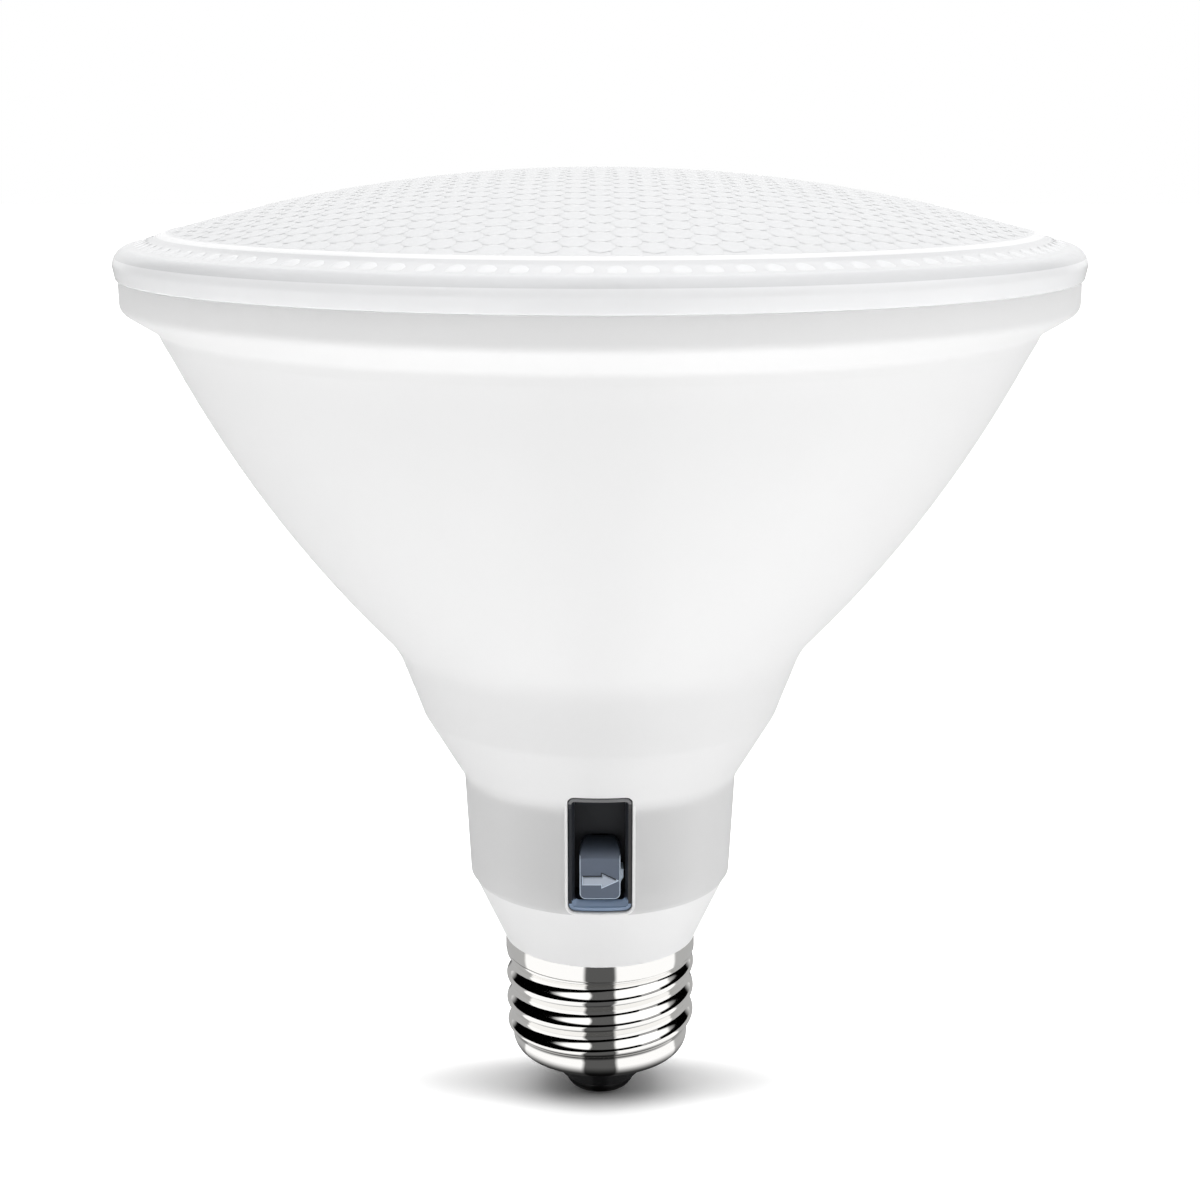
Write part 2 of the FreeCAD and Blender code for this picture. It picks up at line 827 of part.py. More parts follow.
def base_collar():
    """The lower cone between neck and screw shell, with a spigot into each."""
    body = new_body("base_collar")
    revolve(
        body,
        [
            ("tail_bore", "tail_foot"),
            ("tail_radius", "tail_foot"),
            ("tail_radius", "base_height - collar_land"),
            ("shell_radius - sheet - slip/2", "base_height - collar_land"),
            ("shell_radius - sheet - slip/2", "base_height"),
            ("shell_radius + collar_overhang", "base_height"),
            ("neck_foot_radius - neck_chamfer", "neck_foot"),
            ("neck_bore_foot - slip", "neck_foot"),
            ("neck_bore_foot - slip", "spigot_top"),
            ("neck_bore_foot - slip - collar_wall", "spigot_top"),
            ("neck_bore_foot - slip - collar_wall", "neck_foot - collar_wall"),
            ("tail_bore", "base_height + collar_wall"),
        ],
    )
    notch = new_sketch(body, "XZ_Plane")
    notch_side = "tub_flange_width/2 + slip*2"
    rectangle(notch, "-(%s)" % notch_side, notch_side, "neck_foot", "spigot_top + overcut")
    pocket(body, notch, "neck_radius", along_normal=True)
    keep(body, "base_collar")


def thread_core(inset):
    """The rolled thread's inside or outside as a solid, set in by an amount: its radius swings
    between root and crest once a pitch as it climbs, and dies away towards both plain bands."""
    foot = number("thread_foot_place")
    top = number("band_foot")
    pitch = number("thread_pitch")
    rows_a_pitch = whole("thread_rows")
    columns = whole("thread_columns")
    rows = int(round((top - foot) / pitch * rows_a_pitch))
    root = number("root_radius")
    swing = (number("crest_radius") - root) / 2
    low_end = root - number("thread_step")
    high_end = number("shell_radius - thread_step")
    run_in = number("thread_pitch*thread_run_in")
    run_out = number("thread_pitch*thread_run_out")
    # A smooth sheet passes a little inside its poles, so both swings are drawn that much larger.
    wave_gain = 3 / (2 + math.cos(2 * math.pi / rows_a_pitch))
    ring_gain = 3 / (2 + math.cos(2 * math.pi / columns))
    poles = []
    for step in range(columns):
        angle = 2 * math.pi * step / columns
        climb = pitch * (angle / (2 * math.pi) - 0.75)
        column = []
        for row in range(rows + 1):
            height = foot + (top - foot) * row / rows
            phase = 2 * math.pi * (height - number("thread_root_place") - climb) / pitch
            start = smooth((height - foot) / run_in)
            end = smooth((top - height) / run_out)
            wave = root + swing - swing * wave_gain * math.cos(phase)
            radius = low_end + (wave - low_end) * start
            radius = high_end + (radius - high_end) * end - inset
            reach = radius * ring_gain
            column.append(FreeCAD.Vector(reach * math.cos(angle), reach * math.sin(angle), height))
        poles.append(column)
    surface = Part.BSplineSurface()
    ring_knots = list(range(columns + 1))
    row_knots = list(range(rows - 1))
    row_mults = [4] + [1] * (rows - 3) + [4]
    surface.buildFromPolesMultsKnots(
        poles, [1] * (columns + 1), row_mults, ring_knots, row_knots, True, False, 3, 3
    )
    side = surface.toShape()
    faces = [side]
    for edge in side.Edges:
        if edge.isClosed() and edge.BoundBox.ZLength < HAIR:
            faces.append(Part.Face(Part.Wire([edge])))
    skin = Part.makeShell(faces)
    skin.sewShape()
    core = Part.makeSolid(skin)
    if core.Volume < 0:
        core.reverse()
    return core


def smooth(share):
    """Eases from 0 to 1."""
    share = min(max(share, 0.0), 1.0)
    return share * share * (3 - 2 * share)


def screw_shell():
    """The plated screw base: a plain band, a rolled round thread and a rolled-in lip, all one
    sheet."""
    thread = thread_core(0.0).cut(thread_core(number("sheet")))
    foot = new_body("shell_foot")
    revolve(
        foot,
        [
            ("lip_radius", "shell_foot_place"),
            ("root_radius - lip_round", "shell_foot_place", "lip_round", "left"),
            ("root_radius", "shell_foot_place + lip_round"),
            ("root_radius", "thread_foot_place"),
            ("root_radius - sheet", "thread_foot_place"),
            (
                "root_radius - sheet",
                "shell_foot_place + lip_round",
                "lip_round - sheet",
                "right",
            ),
            ("root_radius - lip_round", "shell_foot_place + sheet"),
            ("lip_radius", "shell_foot_place + sheet"),
        ],
    )
    band = new_body("shell_band")
    revolve(
        band,
        [
            ("shell_radius - sheet", "band_foot"),
            ("shell_radius", "band_foot"),
            ("shell_radius", "base_height"),
            ("shell_radius - sheet", "base_height"),
        ],
    )
    shell = doc.addObject("Part::Feature", "screw_shell")
    shell.Shape = band.Shape.fuse([thread, foot.Shape])
    keep(shell, "screw_shell")


def base_insulator():
    """The black plug that closes the shell and carries the tip contact."""
    body = new_body("base_insulator")
    revolve(
        body,
        [
            ("stem_radius + slip/2", "nose_height"),
            ("nose_radius", "nose_height"),
            ("lip_radius - slip", "shell_foot_place"),
            ("lip_radius - slip", "shell_foot_place + sheet + slip/2"),
            ("lip_radius + slip", "shell_foot_place + sheet + slip/2"),
            ("insulator_radius", "shell_foot_place + lip_round"),
            ("insulator_radius", "insulator_top_place"),
            ("stem_radius + slip/2", "insulator_top_place"),
        ],
    )
    keep(body, "base_insulator")


def centre_contact():
    """The tip contact: a domed button with a flat tip and a tubular stem."""
    body = new_body("centre_contact")
    revolve(
        body,
        [
            ("0", "0"),
            ("contact_flat", "0", "contact_dome", "left"),
            ("contact_radius", "nose_height - contact_edge"),
            ("contact_radius", "nose_height"),
            ("stem_radius", "nose_height"),
            ("stem_radius", "insulator_top_place + slip"),
            ("lead_radius + slip/2", "insulator_top_place + slip"),
            ("lead_radius + slip/2", "nose_height + 2*lead_radius"),
            ("0", "nose_height + 2*lead_radius"),
        ],
    )
    keep(body, "centre_contact")


def switch_bezel():
    """The dark tub in the window: a bevelled rim, a flat floor with the knob's slot, and a flange
    behind the neck's wall."""
    body = new_body("switch_bezel")
    outer = new_sketch(body, "XZ_Plane", "tub_back")
    rounded_rectangle(outer, "tub_width/2", "tub_foot", "tub_top", "(window_corner - tub_gap)")
    pad(body, outer, "tub_depth")
    flange = new_sketch(body, "XZ_Plane", "tub_back + tub_flange_back")
    rectangle(flange, "-tub_flange_width/2", "tub_flange_width/2", "tub_foot", "tub_top")
    pad(body, flange, "tub_floor")
    cavity = new_sketch(body, "XZ_Plane", "tub_front")
    half = "tub_inner_width/2"
    rounded_rectangle(cavity, half, "tub_inner_foot", "tub_inner_top", "tub_corner")
    pocket(body, cavity, "tub_depth - tub_floor")
    slot = new_sketch(body, "XZ_Plane", "tub_back + tub_floor")
    slot_side = "stem_width/2 + slot_gap"
    low = "stem_foot - slot_gap"
    high = "stem_foot + stem_height + knob_travel + slot_gap"
    rectangle(slot, "-(%s)" % slot_side, slot_side, low, high)
    pocket(body, slot, "tub_floor")
    bevel(body)
    keep(body, "switch_bezel")


def bevel(body):
    """Cuts the tub's rim back to a slope all round, from a thin edge down to the inner walls."""
    front = new_sketch(body, "XZ_Plane", "tub_front")
    rounded_rectangle(
        front,
        "tub_width/2 - tub_rim",
        "tub_foot + tub_rim",
        "tub_top - tub_rim",
        "(window_corner - tub_gap)",
    )
    back = new_sketch(body, "XZ_Plane", "tub_front - tub_chamfer")
    half = "tub_inner_width/2"
    rounded_rectangle(back, half, "tub_inner_foot", "tub_inner_top", "tub_corner")
    before = body.Shape.Volume
    loft = body.newObject("PartDesign::SubtractiveLoft", "Bevel")
    loft.Profile = (front, [""])
    loft.Sections = [(back, [""])]
    doc.recompute()
    if loft.Shape.Volume > before - HAIR:
        raise RuntimeError("the bevel cut nothing")


def switch_knob():
    """The sliding knob: a flat face with a raised arrow, a crowned top, a side pointer and a stem
    that reaches through the tub's floor."""
    body = new_body("switch_knob")
    side = new_sketch(body, "YZ_Plane")
    outline(
        side,
        [
            ("-knob_front", "knob_foot"),
            ("-knob_back", "knob_foot"),
            (
                "-knob_back",
                "crease + knob_crown",
                "knob_crown_radius",
                "left",
            ),
            ("-knob_front", "crease"),
        ],
    )
    block_pad = pad(body, side, "knob_width", both_ways=True)
    lower = []
    for index, edge in enumerate(block_pad.Shape.Edges, start=1):
        box = edge.BoundBox
        on_side = abs(abs(edge.CenterOfMass.x) - number("knob_width/2")) < HAIR
        runs_back = box.YLength > number("knob_corner") and box.ZLength < HAIR
        if on_side and runs_back and box.ZMin < number("crease"):
            lower.append("Edge%d" % index)
    round_edges(body, lower, "knob_corner")
    stem = new_sketch(body, "XZ_Plane", "stem_back")
    rectangle(stem, "-stem_width/2", "stem_width/2", "stem_foot", "stem_foot + stem_height")
    pad(body, stem, "stem_reach + knob_floor_gap")
    arrow = new_sketch(body, "XZ_Plane", "knob_front - knob_edge")
    outline(
        arrow,
        [
            ("-arrow_reach", "arrow_place - arrow_shaft/2"),
            ("arrow_neck", "arrow_place - arrow_shaft/2"),
            ("arrow_neck", "arrow_place - arrow_head/2"),
            ("arrow_reach", "arrow_place"),
            ("arrow_neck", "arrow_place + arrow_head/2"),
            ("arrow_neck", "arrow_place + arrow_shaft/2"),
            ("-arrow_reach", "arrow_place + arrow_shaft/2"),
        ],
    )
    pad(body, arrow, "arrow_relief + knob_edge")
    pointer = new_sketch(body, "XZ_Plane", "knob_back + knob_proud")
    outline(
        pointer,
        [
            ("knob_width/2 - knob_edge", "arrow_place - arrow_shaft/2"),
            ("knob_width/2", "arrow_place - arrow_shaft/2"),
            ("knob_width/2 + knob_nub", "arrow_place - arrow_shaft/2 + nub_slope"),
            ("knob_width/2 + knob_nub", "arrow_place - arrow_shaft/2 + nub_height"),
            ("knob_width/2 - knob_edge", "arrow_place - arrow_shaft/2 + nub_height"),
        ],
    )
    pad(body, pointer, "knob_front - knob_back - 3*knob_proud")
    keep(body, "switch_knob")


def switch_body():
    """The slide switch on the board: a box with a cavity and a front slot for the stem."""
    case = block(
        "switch_case",
        ("-switch_width/2", "-switch_front", "tub_foot"),
        ("switch_width", "switch_depth", "tub_top - tub_foot"),
    )
    cavity = block(
        "switch_cavity",
        (
            "-wiper_width/2 - 2*slot_gap",
            "-switch_front + switch_wall",
            "stem_foot - 2*slot_gap",
        ),
        (
            "wiper_width + 4*slot_gap",
            "switch_depth - 2*switch_wall",
            "stem_height + knob_travel + 4*slot_gap",
        ),
    )
    slot = block(
        "switch_slot",
        ("-stem_width/2 - slot_gap", "-switch_front - overcut", "stem_foot - slot_gap"),
        (
            "stem_width + 2*slot_gap",
            "switch_wall + 2*overcut",
            "stem_height + knob_travel + 2*slot_gap",
        ),
    )
    keep(combine("cut", "switch_body", [case, cavity, slot]), "switch_body")


def switch_wiper():
    """The bridging contact on the stem's end, with two sprung feet towards the board."""
    plate = block(
        "wiper_plate",
        ("-wiper_width/2", "-stem_back", "stem_foot"),
        ("wiper_width", "wiper_depth/2", "stem_height"),
    )
    feet = []
    for side in ("-wiper_width/2", "wiper_width/2 - wiper_depth"):
        foot = block(
            "wiper_foot",
            (side, "-stem_back", "stem_foot + stem_height/2 - wiper_depth/2"),
            ("wiper_depth", "wiper_depth", "wiper_depth"),
        )
        feet.append(foot)
    keep(combine("fuse", "switch_wiper", [plate] + feet), "switch_wiper")


def driver_board():
    """The upright circuit board, narrow below where it passes the collar's spigot."""
    body = new_body("driver_board")
    sketch = new_sketch(body, "XZ_Plane", "board_back")
    outline(
        sketch,
        [
            ("-board_tongue/2", "board_foot"),
            ("board_tongue/2", "board_foot"),
            ("board_tongue/2", "board_shoulder"),
            ("board_width/2", "board_shoulder"),
            ("board_width/2", "board_top_place"),
            ("-board_width/2", "board_top_place"),
            ("-board_width/2", "board_shoulder"),
            ("-board_tongue/2", "board_shoulder"),
        ],
    )
    pad(body, sketch, "board_sheet")
    keep(body, "driver_board")


def transformer():
    """A ferrite core with two windows, and the wound bobbin on its middle leg."""
    foot = "tub_top + parts_gap"
    case = block(
        "core_case",
        ("-core_width/2", "-board_back + winding", foot),
        ("core_width", "core_depth", "core_height"),
    )
    opening = "(core_width/2 - core_leg*1.5)"
    windows = []
    for left in ("-core_width/2 + core_leg", "core_leg/2"):
        window = block(
            "core_window",
            (left, "-board_back", foot + " + core_leg"),
            (opening, "core_depth + 2*winding", "core_height - 2*core_leg"),
        )
        windows.append(window)
    keep(combine("cut", "transformer_core", [case] + windows), "transformer_core")
    spool = block(
        "bobbin_case",
        (
            "-core_width/2 + core_leg + slip",
            "-board_back",
            foot + " + core_leg + slip",
        ),
        (
            "core_width - 2*core_leg - 2*slip",
            "core_depth + 2*winding",
            "core_height - 2*core_leg - 2*slip",
        ),
    )
    leg = block(
        "bobbin_bore",
        ("-core_leg/2 - slip/2", "-board_back + winding - slip/2", foot),
        ("core_leg + slip", "core_depth + slip", "core_height"),
    )
    keep(combine("cut", "transformer_bobbin", [spool, leg]), "transformer_bobbin")


def can(label, across, back, foot, radius, height):
    """An upright capacitor can with the rolled groove near its foot."""
    body = new_body(label)
    revolve(
        body,
        [
            ("0", "0"),
            (radius, "0"),
            (radius, "can_foot"),
            ("%s - can_groove" % radius, "can_foot*1.5"),
            (radius, "can_foot*2"),
            (radius, height + " - can_groove"),
            ("%s - can_groove" % radius, height),
            ("0", height),
        ],
    )
    body.setExpression("Placement.Base.x", formula(across))
    body.setExpression("Placement.Base.y", formula(back))
    body.setExpression("Placement.Base.z", formula(foot))
    keep(body, label)


def choke():
    """A drum core lying against the board above the tub, with its winding."""
    middle = "tub_top + parts_gap + choke_radius*2"
    core = new_body("choke_core")
    spool = [
        ("0", "0"),
        ("choke_radius", "0"),
        ("choke_radius", "choke_flange"),
        ("choke_waist", "choke_flange"),
        ("choke_waist", "choke_height - choke_flange"),
        ("choke_radius", "choke_height - choke_flange"),
        ("choke_radius", "choke_height"),
        ("0", "choke_height"),
    ]
    revolve(core, spool)
    coil = new_body("choke_coil")
    winding = [
        ("choke_waist + slip/2", "choke_flange + slip/2"),
        ("choke_radius - slip*2", "choke_flange + slip/2"),
        ("choke_radius - slip*2", "choke_height - choke_flange - slip/2"),
        ("choke_waist + slip/2", "choke_height - choke_flange - slip/2"),
    ]
    revolve(coil, winding)
    for body, label in ((core, "choke_core"), (coil, "choke_coil")):
        body.Placement.Rotation = FreeCAD.Rotation(FreeCAD.Vector(1, 0, 0), 90)
        body.setExpression("Placement.Base.y", formula("-board_front"))
        body.setExpression("Placement.Base.z", formula(middle))
        keep(body, label)


def small_parts():
    """The film capacitor, the bridge, the controller and the fuse resistor on the board."""
    film = block(
        "film_capacitor",
        ("-film_width/2", "-board_back", "board_top_place - film_height - parts_gap/2"),
        ("film_width", "film_depth", "film_height"),
    )
    keep(film, "film_capacitor")
    chips = (
        ("bridge_rectifier", "-board_width/2 + parts_gap/2", "bridge_width"),
        ("controller_chip", "board_width/2 - parts_gap/2 - chip_width", "chip_width"),
    )
    foot = "board_top_place - bridge_width - parts_gap"
    for label, left, width in chips:
        case = block(
            label + "_case",
            (left, "-board_front - chip_height", foot),
            (width, "chip_height", "chip_rise"),
        )
        legs = []
        for step in range(whole("legs_a_side")):
            across = "%s + %s*%d/(2*legs_a_side) - chip_leg/2" % (left, width, 2 * step + 1)
            leg = block(
                label + "_leg",
                (across, "-board_front - chip_height/2", foot + " - chip_leg*2"),
                ("chip_leg", "chip_height/2", "chip_rise + chip_leg*4"),
            )
            legs.append(leg)
        keep(combine("fuse", label, [case] + legs), label)
    fuse = doc.addObject("Part::Cylinder", "fuse_resistor")
    bind(fuse, Radius="fuse_radius", Height="fuse_length")
    fuse.Placement.Rotation = FreeCAD.Rotation(FreeCAD.Vector(0, 1, 0), 90)
    fuse.setExpression("Placement.Base.x", formula("-fuse_length/2"))
    fuse.setExpression("Placement.Base.y", formula("-board_back + fuse_radius"))
    fuse.setExpression("Placement.Base.z", formula("board_foot + fuse_radius + slip"))
    keep(fuse, "fuse_resistor")


def lead(label, points):
    """A wire along straight runs, with a round bend at each inner point."""
    stops = [FreeCAD.Vector(*[number(word) for word in point]) for point in points]
    edges = []
    begin = stops[0]
    for before, here, after in zip(stops, stops[1:], stops[2:]):
        come = (here - before).normalize()
        leave = (after - here).normalize()
        turn = come.getAngle(leave)
        shorter = min((here - before).Length, (after - here).Length)
        setback = BEND_SHARE * shorter
        radius = setback / math.tan(turn / 2)
        start = here - come * setback
        finish = here + leave * setback
        inward = (leave - come).normalize()
        middle = here + inward * (math.hypot(setback, radius) - radius)
        edges.append(Part.makeLine(begin, start))
        edges.append(Part.Arc(start, middle, finish).toShape())
        begin = finish
    edges.append(Part.makeLine(begin, stops[-1]))
    path = Part.Wire(edges)
    way = (stops[1] - stops[0]).normalize()
    ring = Part.Wire([Part.makeCircle(number("lead_radius"), stops[0], way)])
    tube = path.makePipeShell([ring], True, True)
    wire = doc.addObject("Part::Feature", label)
    wire.Shape = tube
    return wire


def leads():
    """Live from the tip contact, neutral from the shell, and two leads up to the light board."""
    live = lead(
        "live_lead",
        [
            ("0", "0", "insulator_top_place - 2*lead_radius"),
            ("0", "0", "tail_foot + lead_radius*8"),
            ("0", "-board_middle", "neck_foot - lead_radius*10"),
            ("0", "-board_middle", "board_foot"),
        ],
    )
    keep(live, "live_lead")
    wall_place = "sqrt(shell_bore^2 - (board_middle + lead_radius)^2) - slip/2"
    bore_place = "sqrt(tail_bore^2 - (board_middle + lead_radius)^2) - lead_radius - slip"
    neutral = lead(
        "neutral_lead",
        [
            (wall_place, "-board_middle", "tail_foot - 2*lead_radius"),
            ("%s - 2*lead_radius" % bore_place, "-board_middle", "tail_foot - 2*lead_radius"),
            ("%s - 2*lead_radius" % bore_place, "-board_middle", "board_foot"),
        ],
    )
    keep(neutral, "neutral_lead")
    pair = []
    for side in ("-", ""):
        across = "%ssocket_width/4" % side
        plug = "led_board_top + socket_height/2"
        pair.append(
            lead(
                "led_lead",
                [
                    (across, "-board_middle", "board_top_place"),
                    (across, "-board_middle", "board_top_place + lead_slack"),
                    (across, "-lead_radius", "platform_place - lead_slack"),
                    (across, "-lead_radius", plug),
                    (across, "cable_hole + socket_depth/2", plug),
                ],
            )
        )
    both = doc.addObject("Part::Feature", "led_leads")
    both.Shape = Part.makeCompound([wire.Shape for wire in pair])
    keep(both, "led_leads")


lens()
lens_gasket()
neck()
housing()
heat_sink()
disc(
    "thermal_pad",
    "cable_hole",
    "led_board_radius - board_margin",
    "platform_place + cup_sheet",
    "led_board_foot",
)
disc("led_board", "cable_hole", "led_board_radius", "led_board_foot", "led_board_top")
led_chips()
led_board_screws()
led_socket()
reflector()
base_collar()
screw_shell()
base_insulator()
centre_contact()
switch_bezel()
switch_knob()
switch_body()
switch_wiper()
driver_board()
transformer()
can(
    "input_capacitor",
    "-bulk_can_radius - parts_gap/2",
    "-board_back + bulk_can_radius + slip",
    "board_shoulder",
    "bulk_can_radius",
    "bulk_can_height",
)
can(
    "output_capacitor",
    "output_can_radius + parts_gap/2",
    "-board_back + output_can_radius + slip",
    "board_shoulder",
    "output_can_radius",
    "output_can_height",
)
choke()
small_parts()
leads()

doc.recompute()
for thing in doc.Objects:
    if "Invalid" in thing.State or "Error" in thing.State:
        raise RuntimeError("%s failed: %s" % (thing.Label, thing.State))
for thing in parts:
    if thing.Shape.isNull() or not thing.Shape.isValid():
        raise RuntimeError(thing.Label + " has no valid shape")

os.makedirs("parts", exist_ok=True)
for thing in parts:
    thing.Shape.exportStep("parts/" + thing.Label + ".step")
    print(thing.Label, round(thing.Shape.Volume, 1), len(thing.Shape.Solids))
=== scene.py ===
# %% [markdown]
# # A flood lamp with a screw base
#
# The lamp is a white moulded cone with a pebbled lens on top, a small slide switch in its neck and
# a nickel-plated screw base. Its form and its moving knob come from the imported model. This script
# gives it its looks: the pieces whose surface is finer than the solids are modelled again, and
# every surface gets a finish of its own.

import math

import bpy
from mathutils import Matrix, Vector


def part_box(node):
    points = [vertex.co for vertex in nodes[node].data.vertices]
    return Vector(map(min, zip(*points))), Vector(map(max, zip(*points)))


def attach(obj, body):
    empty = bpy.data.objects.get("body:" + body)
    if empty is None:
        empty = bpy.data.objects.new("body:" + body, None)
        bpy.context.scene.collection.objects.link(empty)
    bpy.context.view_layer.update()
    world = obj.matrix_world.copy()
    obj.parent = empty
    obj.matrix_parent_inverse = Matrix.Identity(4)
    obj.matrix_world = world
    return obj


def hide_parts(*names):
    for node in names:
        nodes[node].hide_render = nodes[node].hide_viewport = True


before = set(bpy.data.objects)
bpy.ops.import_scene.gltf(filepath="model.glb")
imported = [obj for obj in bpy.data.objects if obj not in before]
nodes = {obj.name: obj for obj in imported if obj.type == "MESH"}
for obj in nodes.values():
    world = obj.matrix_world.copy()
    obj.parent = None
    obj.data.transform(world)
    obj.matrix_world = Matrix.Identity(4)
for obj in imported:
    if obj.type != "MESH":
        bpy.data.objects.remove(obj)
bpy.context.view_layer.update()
MM = 0.001
print("nodes in the frame:", len(nodes))

# %% [markdown]
# ## The photographer's set
#
# The lamp stands on its tip contact on white paper, seen from a little above the lens. A 60 mm lens
# from 26 cm away gives the strong curve of the rim. The camera's height is measured from the
# parting line between the lens and the rim, which it looks down on by 13.5 degrees.

# %% Camera
AXIS_DISTANCE = 0.2599
ABOVE_PARTING = 0.0189
LOOK_DOWN = math.radians(13.51)
FOCAL_LENGTH = 60
SENSOR_WIDTH = 36

rim_low, rim_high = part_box("housing")
parting = rim_high.z

camera_data = bpy.data.cameras.new("camera")
camera_data.lens = FOCAL_LENGTH
camera_data.sensor_width = SENSOR_WIDTH
camera_data.clip_start = 0.01
camera = bpy.data.objects.new("camera", camera_data)
camera.location = (0, -AXIS_DISTANCE, parting + ABOVE_PARTING)
camera.rotation_euler = (math.pi / 2 - LOOK_DOWN, 0, 0)
bpy.context.scene.collection.objects.link(camera)
bpy.context.scene.camera = camera
print("camera height, mm:", round(camera.location.z / MM, 1))

# %% Helpers for modes and selection


def edit_mode():
    bpy.ops.object.mode_set(mode="EDIT")


def object_mode():
    bpy.ops.object.mode_set(mode="OBJECT")


def select_all():
    bpy.ops.mesh.select_all(action="SELECT")


def select_none():
    bpy.ops.mesh.select_all(action="DESELECT")


def clear_selection():
    """Leaves object mode with nothing selected."""
    if bpy.context.object and bpy.context.object.mode != "OBJECT":
        object_mode()
    bpy.ops.object.select_all(action="DESELECT")


def select_only(piece):
    """Selects one piece and makes it the active one."""
    clear_selection()
    piece.select_set(True)
    bpy.context.view_layer.objects.active = piece


print("modes ready")

# %% Helpers for materials


def new_material(name):
    """A material with its node tree and shader."""
    material = bpy.data.materials.new(name)
    material.use_nodes = True
    tree = material.node_tree
    return material, tree, shader_of(material)


def shader_of(material):
    return material.node_tree.nodes["Principled BSDF"]


def fill(node, values):
    """Sets or links inputs of a node, by their names or numbers."""
    for name, value in values.items():
        if isinstance(value, bpy.types.NodeSocket):
            node.id_data.links.new(value, node.inputs[name])
        else:
            node.inputs[name].default_value = value


def math_node(tree, operation, *values, clamp=False):
    """The result of a Math node."""
    node = tree.nodes.new("ShaderNodeMath")
    node.operation = operation
    node.use_clamp = clamp
    fill(node, dict(enumerate(values)))
    return node.outputs[0]


def vector_node(tree, operation, *values):
    """The result of a Vector Math node."""
    node = tree.nodes.new("ShaderNodeVectorMath")
    node.operation = operation
    fill(node, dict(enumerate(values)))
    return node.outputs["Value" if operation in ("LENGTH", "DISTANCE") else "Vector"]


def separated(tree, vector):
    """The three parts of a vector, by their names."""
    node = tree.nodes.new("ShaderNodeSeparateXYZ")
    fill(node, {0: vector})
    return node.outputs


def group_socket(tree, name, kind, side):
    """Adds a named input or output to a node group."""
    tree.interface.new_socket(name, in_out=side, socket_type=kind)


def picked(tree, by, when_off, when_on):
    """A mix of two values, by a share from 0 to 1."""
    mix = tree.nodes.new("ShaderNodeMix")
    fill(mix, {"Factor": by, "A": when_off, "B": when_on})
    return mix.outputs["Result"]


def smooth_step(tree, source, start, end, low, high):
    """A value that goes softly from low to high while its source goes from start to end."""
    node = tree.nodes.new("ShaderNodeMapRange")
    node.interpolation_type = "SMOOTHSTEP"
    ends = {"From Min": start, "From Max": end, "To Min": low, "To Max": high}
    fill(node, {"Value": source, **ends})
    return node.outputs["Result"]


def object_place(tree):
    """Where a point lies on its own piece."""
    return tree.nodes.new("ShaderNodeTexCoord").outputs["Object"]


def noise(tree, place, values):
    """A noise at a place, with some of its inputs set."""
    node = tree.nodes.new("ShaderNodeTexNoise")
    fill(node, {"Vector": place, **values})
    return node.outputs["Fac"]


def bumped(tree, height, strength, depth):
    """Makes a height show as a bump of the tree's shader."""
    bump = tree.nodes.new("ShaderNodeBump")
    fill(bump, {"Strength": strength, "Distance": depth, "Height": height})
    fill(tree.nodes["Principled BSDF"], {"Normal": bump.outputs["Normal"]})


print("helpers ready")

# %% [markdown]
# ## Cards for the metal
#
# Everything round the lamp is white, so its shape reads only by soft greys. Polished metal would
# vanish in such a set. A photographer stands dark cards where only reflections find them: one in
# front, which draws the dark strip down the middle of the screw base, and grey ones behind, which
# draw its edges. Here they are a pattern of the direction that a reflection looks in. The sky and
# the paper both need it, so it is one node group.

# %% Node group: cards
# Each card is (azimuth of its middle, half its width, brightness), in degrees from the camera's
# side, to the right and left alike.
CARDS = ((0, 15, 0.09), (138, 42, 0.42), (168, 14, 0.35))
CARD_BLUR = 4


def card_pattern():
    """A group that gives the brightness of the cards in a direction."""
    tree = bpy.data.node_groups.new("cards", "ShaderNodeTree")
    group_socket(tree, "Direction", "NodeSocketVector", "INPUT")
    group_socket(tree, "Brightness", "NodeSocketFloat", "OUTPUT")
    given = tree.nodes.new("NodeGroupInput")
    result = tree.nodes.new("NodeGroupOutput")
    parts = separated(tree, given.outputs["Direction"])
    sideways = math_node(tree, "ABSOLUTE", parts["X"])
    forward = math_node(tree, "MULTIPLY", parts["Y"], -1)
    azimuth = math_node(tree, "ARCTAN2", sideways, forward)
    brightness = 1.0
    for middle, half_width, level in CARDS:
        away = math_node(tree, "SUBTRACT", azimuth, math.radians(middle))
        away = math_node(tree, "ABSOLUTE", away)
        past = math_node(tree, "SUBTRACT", away, math.radians(half_width))
        share = math_node(tree, "DIVIDE", past, math.radians(CARD_BLUR), clamp=True)
        share = math_node(tree, "MULTIPLY", share, 1 - level)
        share = math_node(tree, "ADD", share, level)
        brightness = math_node(tree, "MULTIPLY", share, brightness)
    fill(result, {"Brightness": brightness})
    return tree


CARD_GROUP = card_pattern()
print("cards:", len(CARDS))

# %% [markdown]
# ## Sky
#
# The camera sees plain white behind the lamp. The lamp itself is lit by a sky that is bright
# overhead and behind, and dark low down in front and a little to the left: that makes the upright
# walls of the neck and the rim the greyest and the lens the whitest, as in the photo. Reflections
# see a bright sky with the cards in it, and a dark line low on the horizon, which turns into the
# thin black lines along each turn of the thread. Straight behind the lamp they see an even light
# grey, which lights the dome where the camera looks along it.

# %% World: the light on the lamp
SKY_LOW = 0.02
SKY_BACK = 0.6
SKY_RISE = 2.9
SKY_CURVE = 5.0
DARK_SIDE = math.radians(-25)

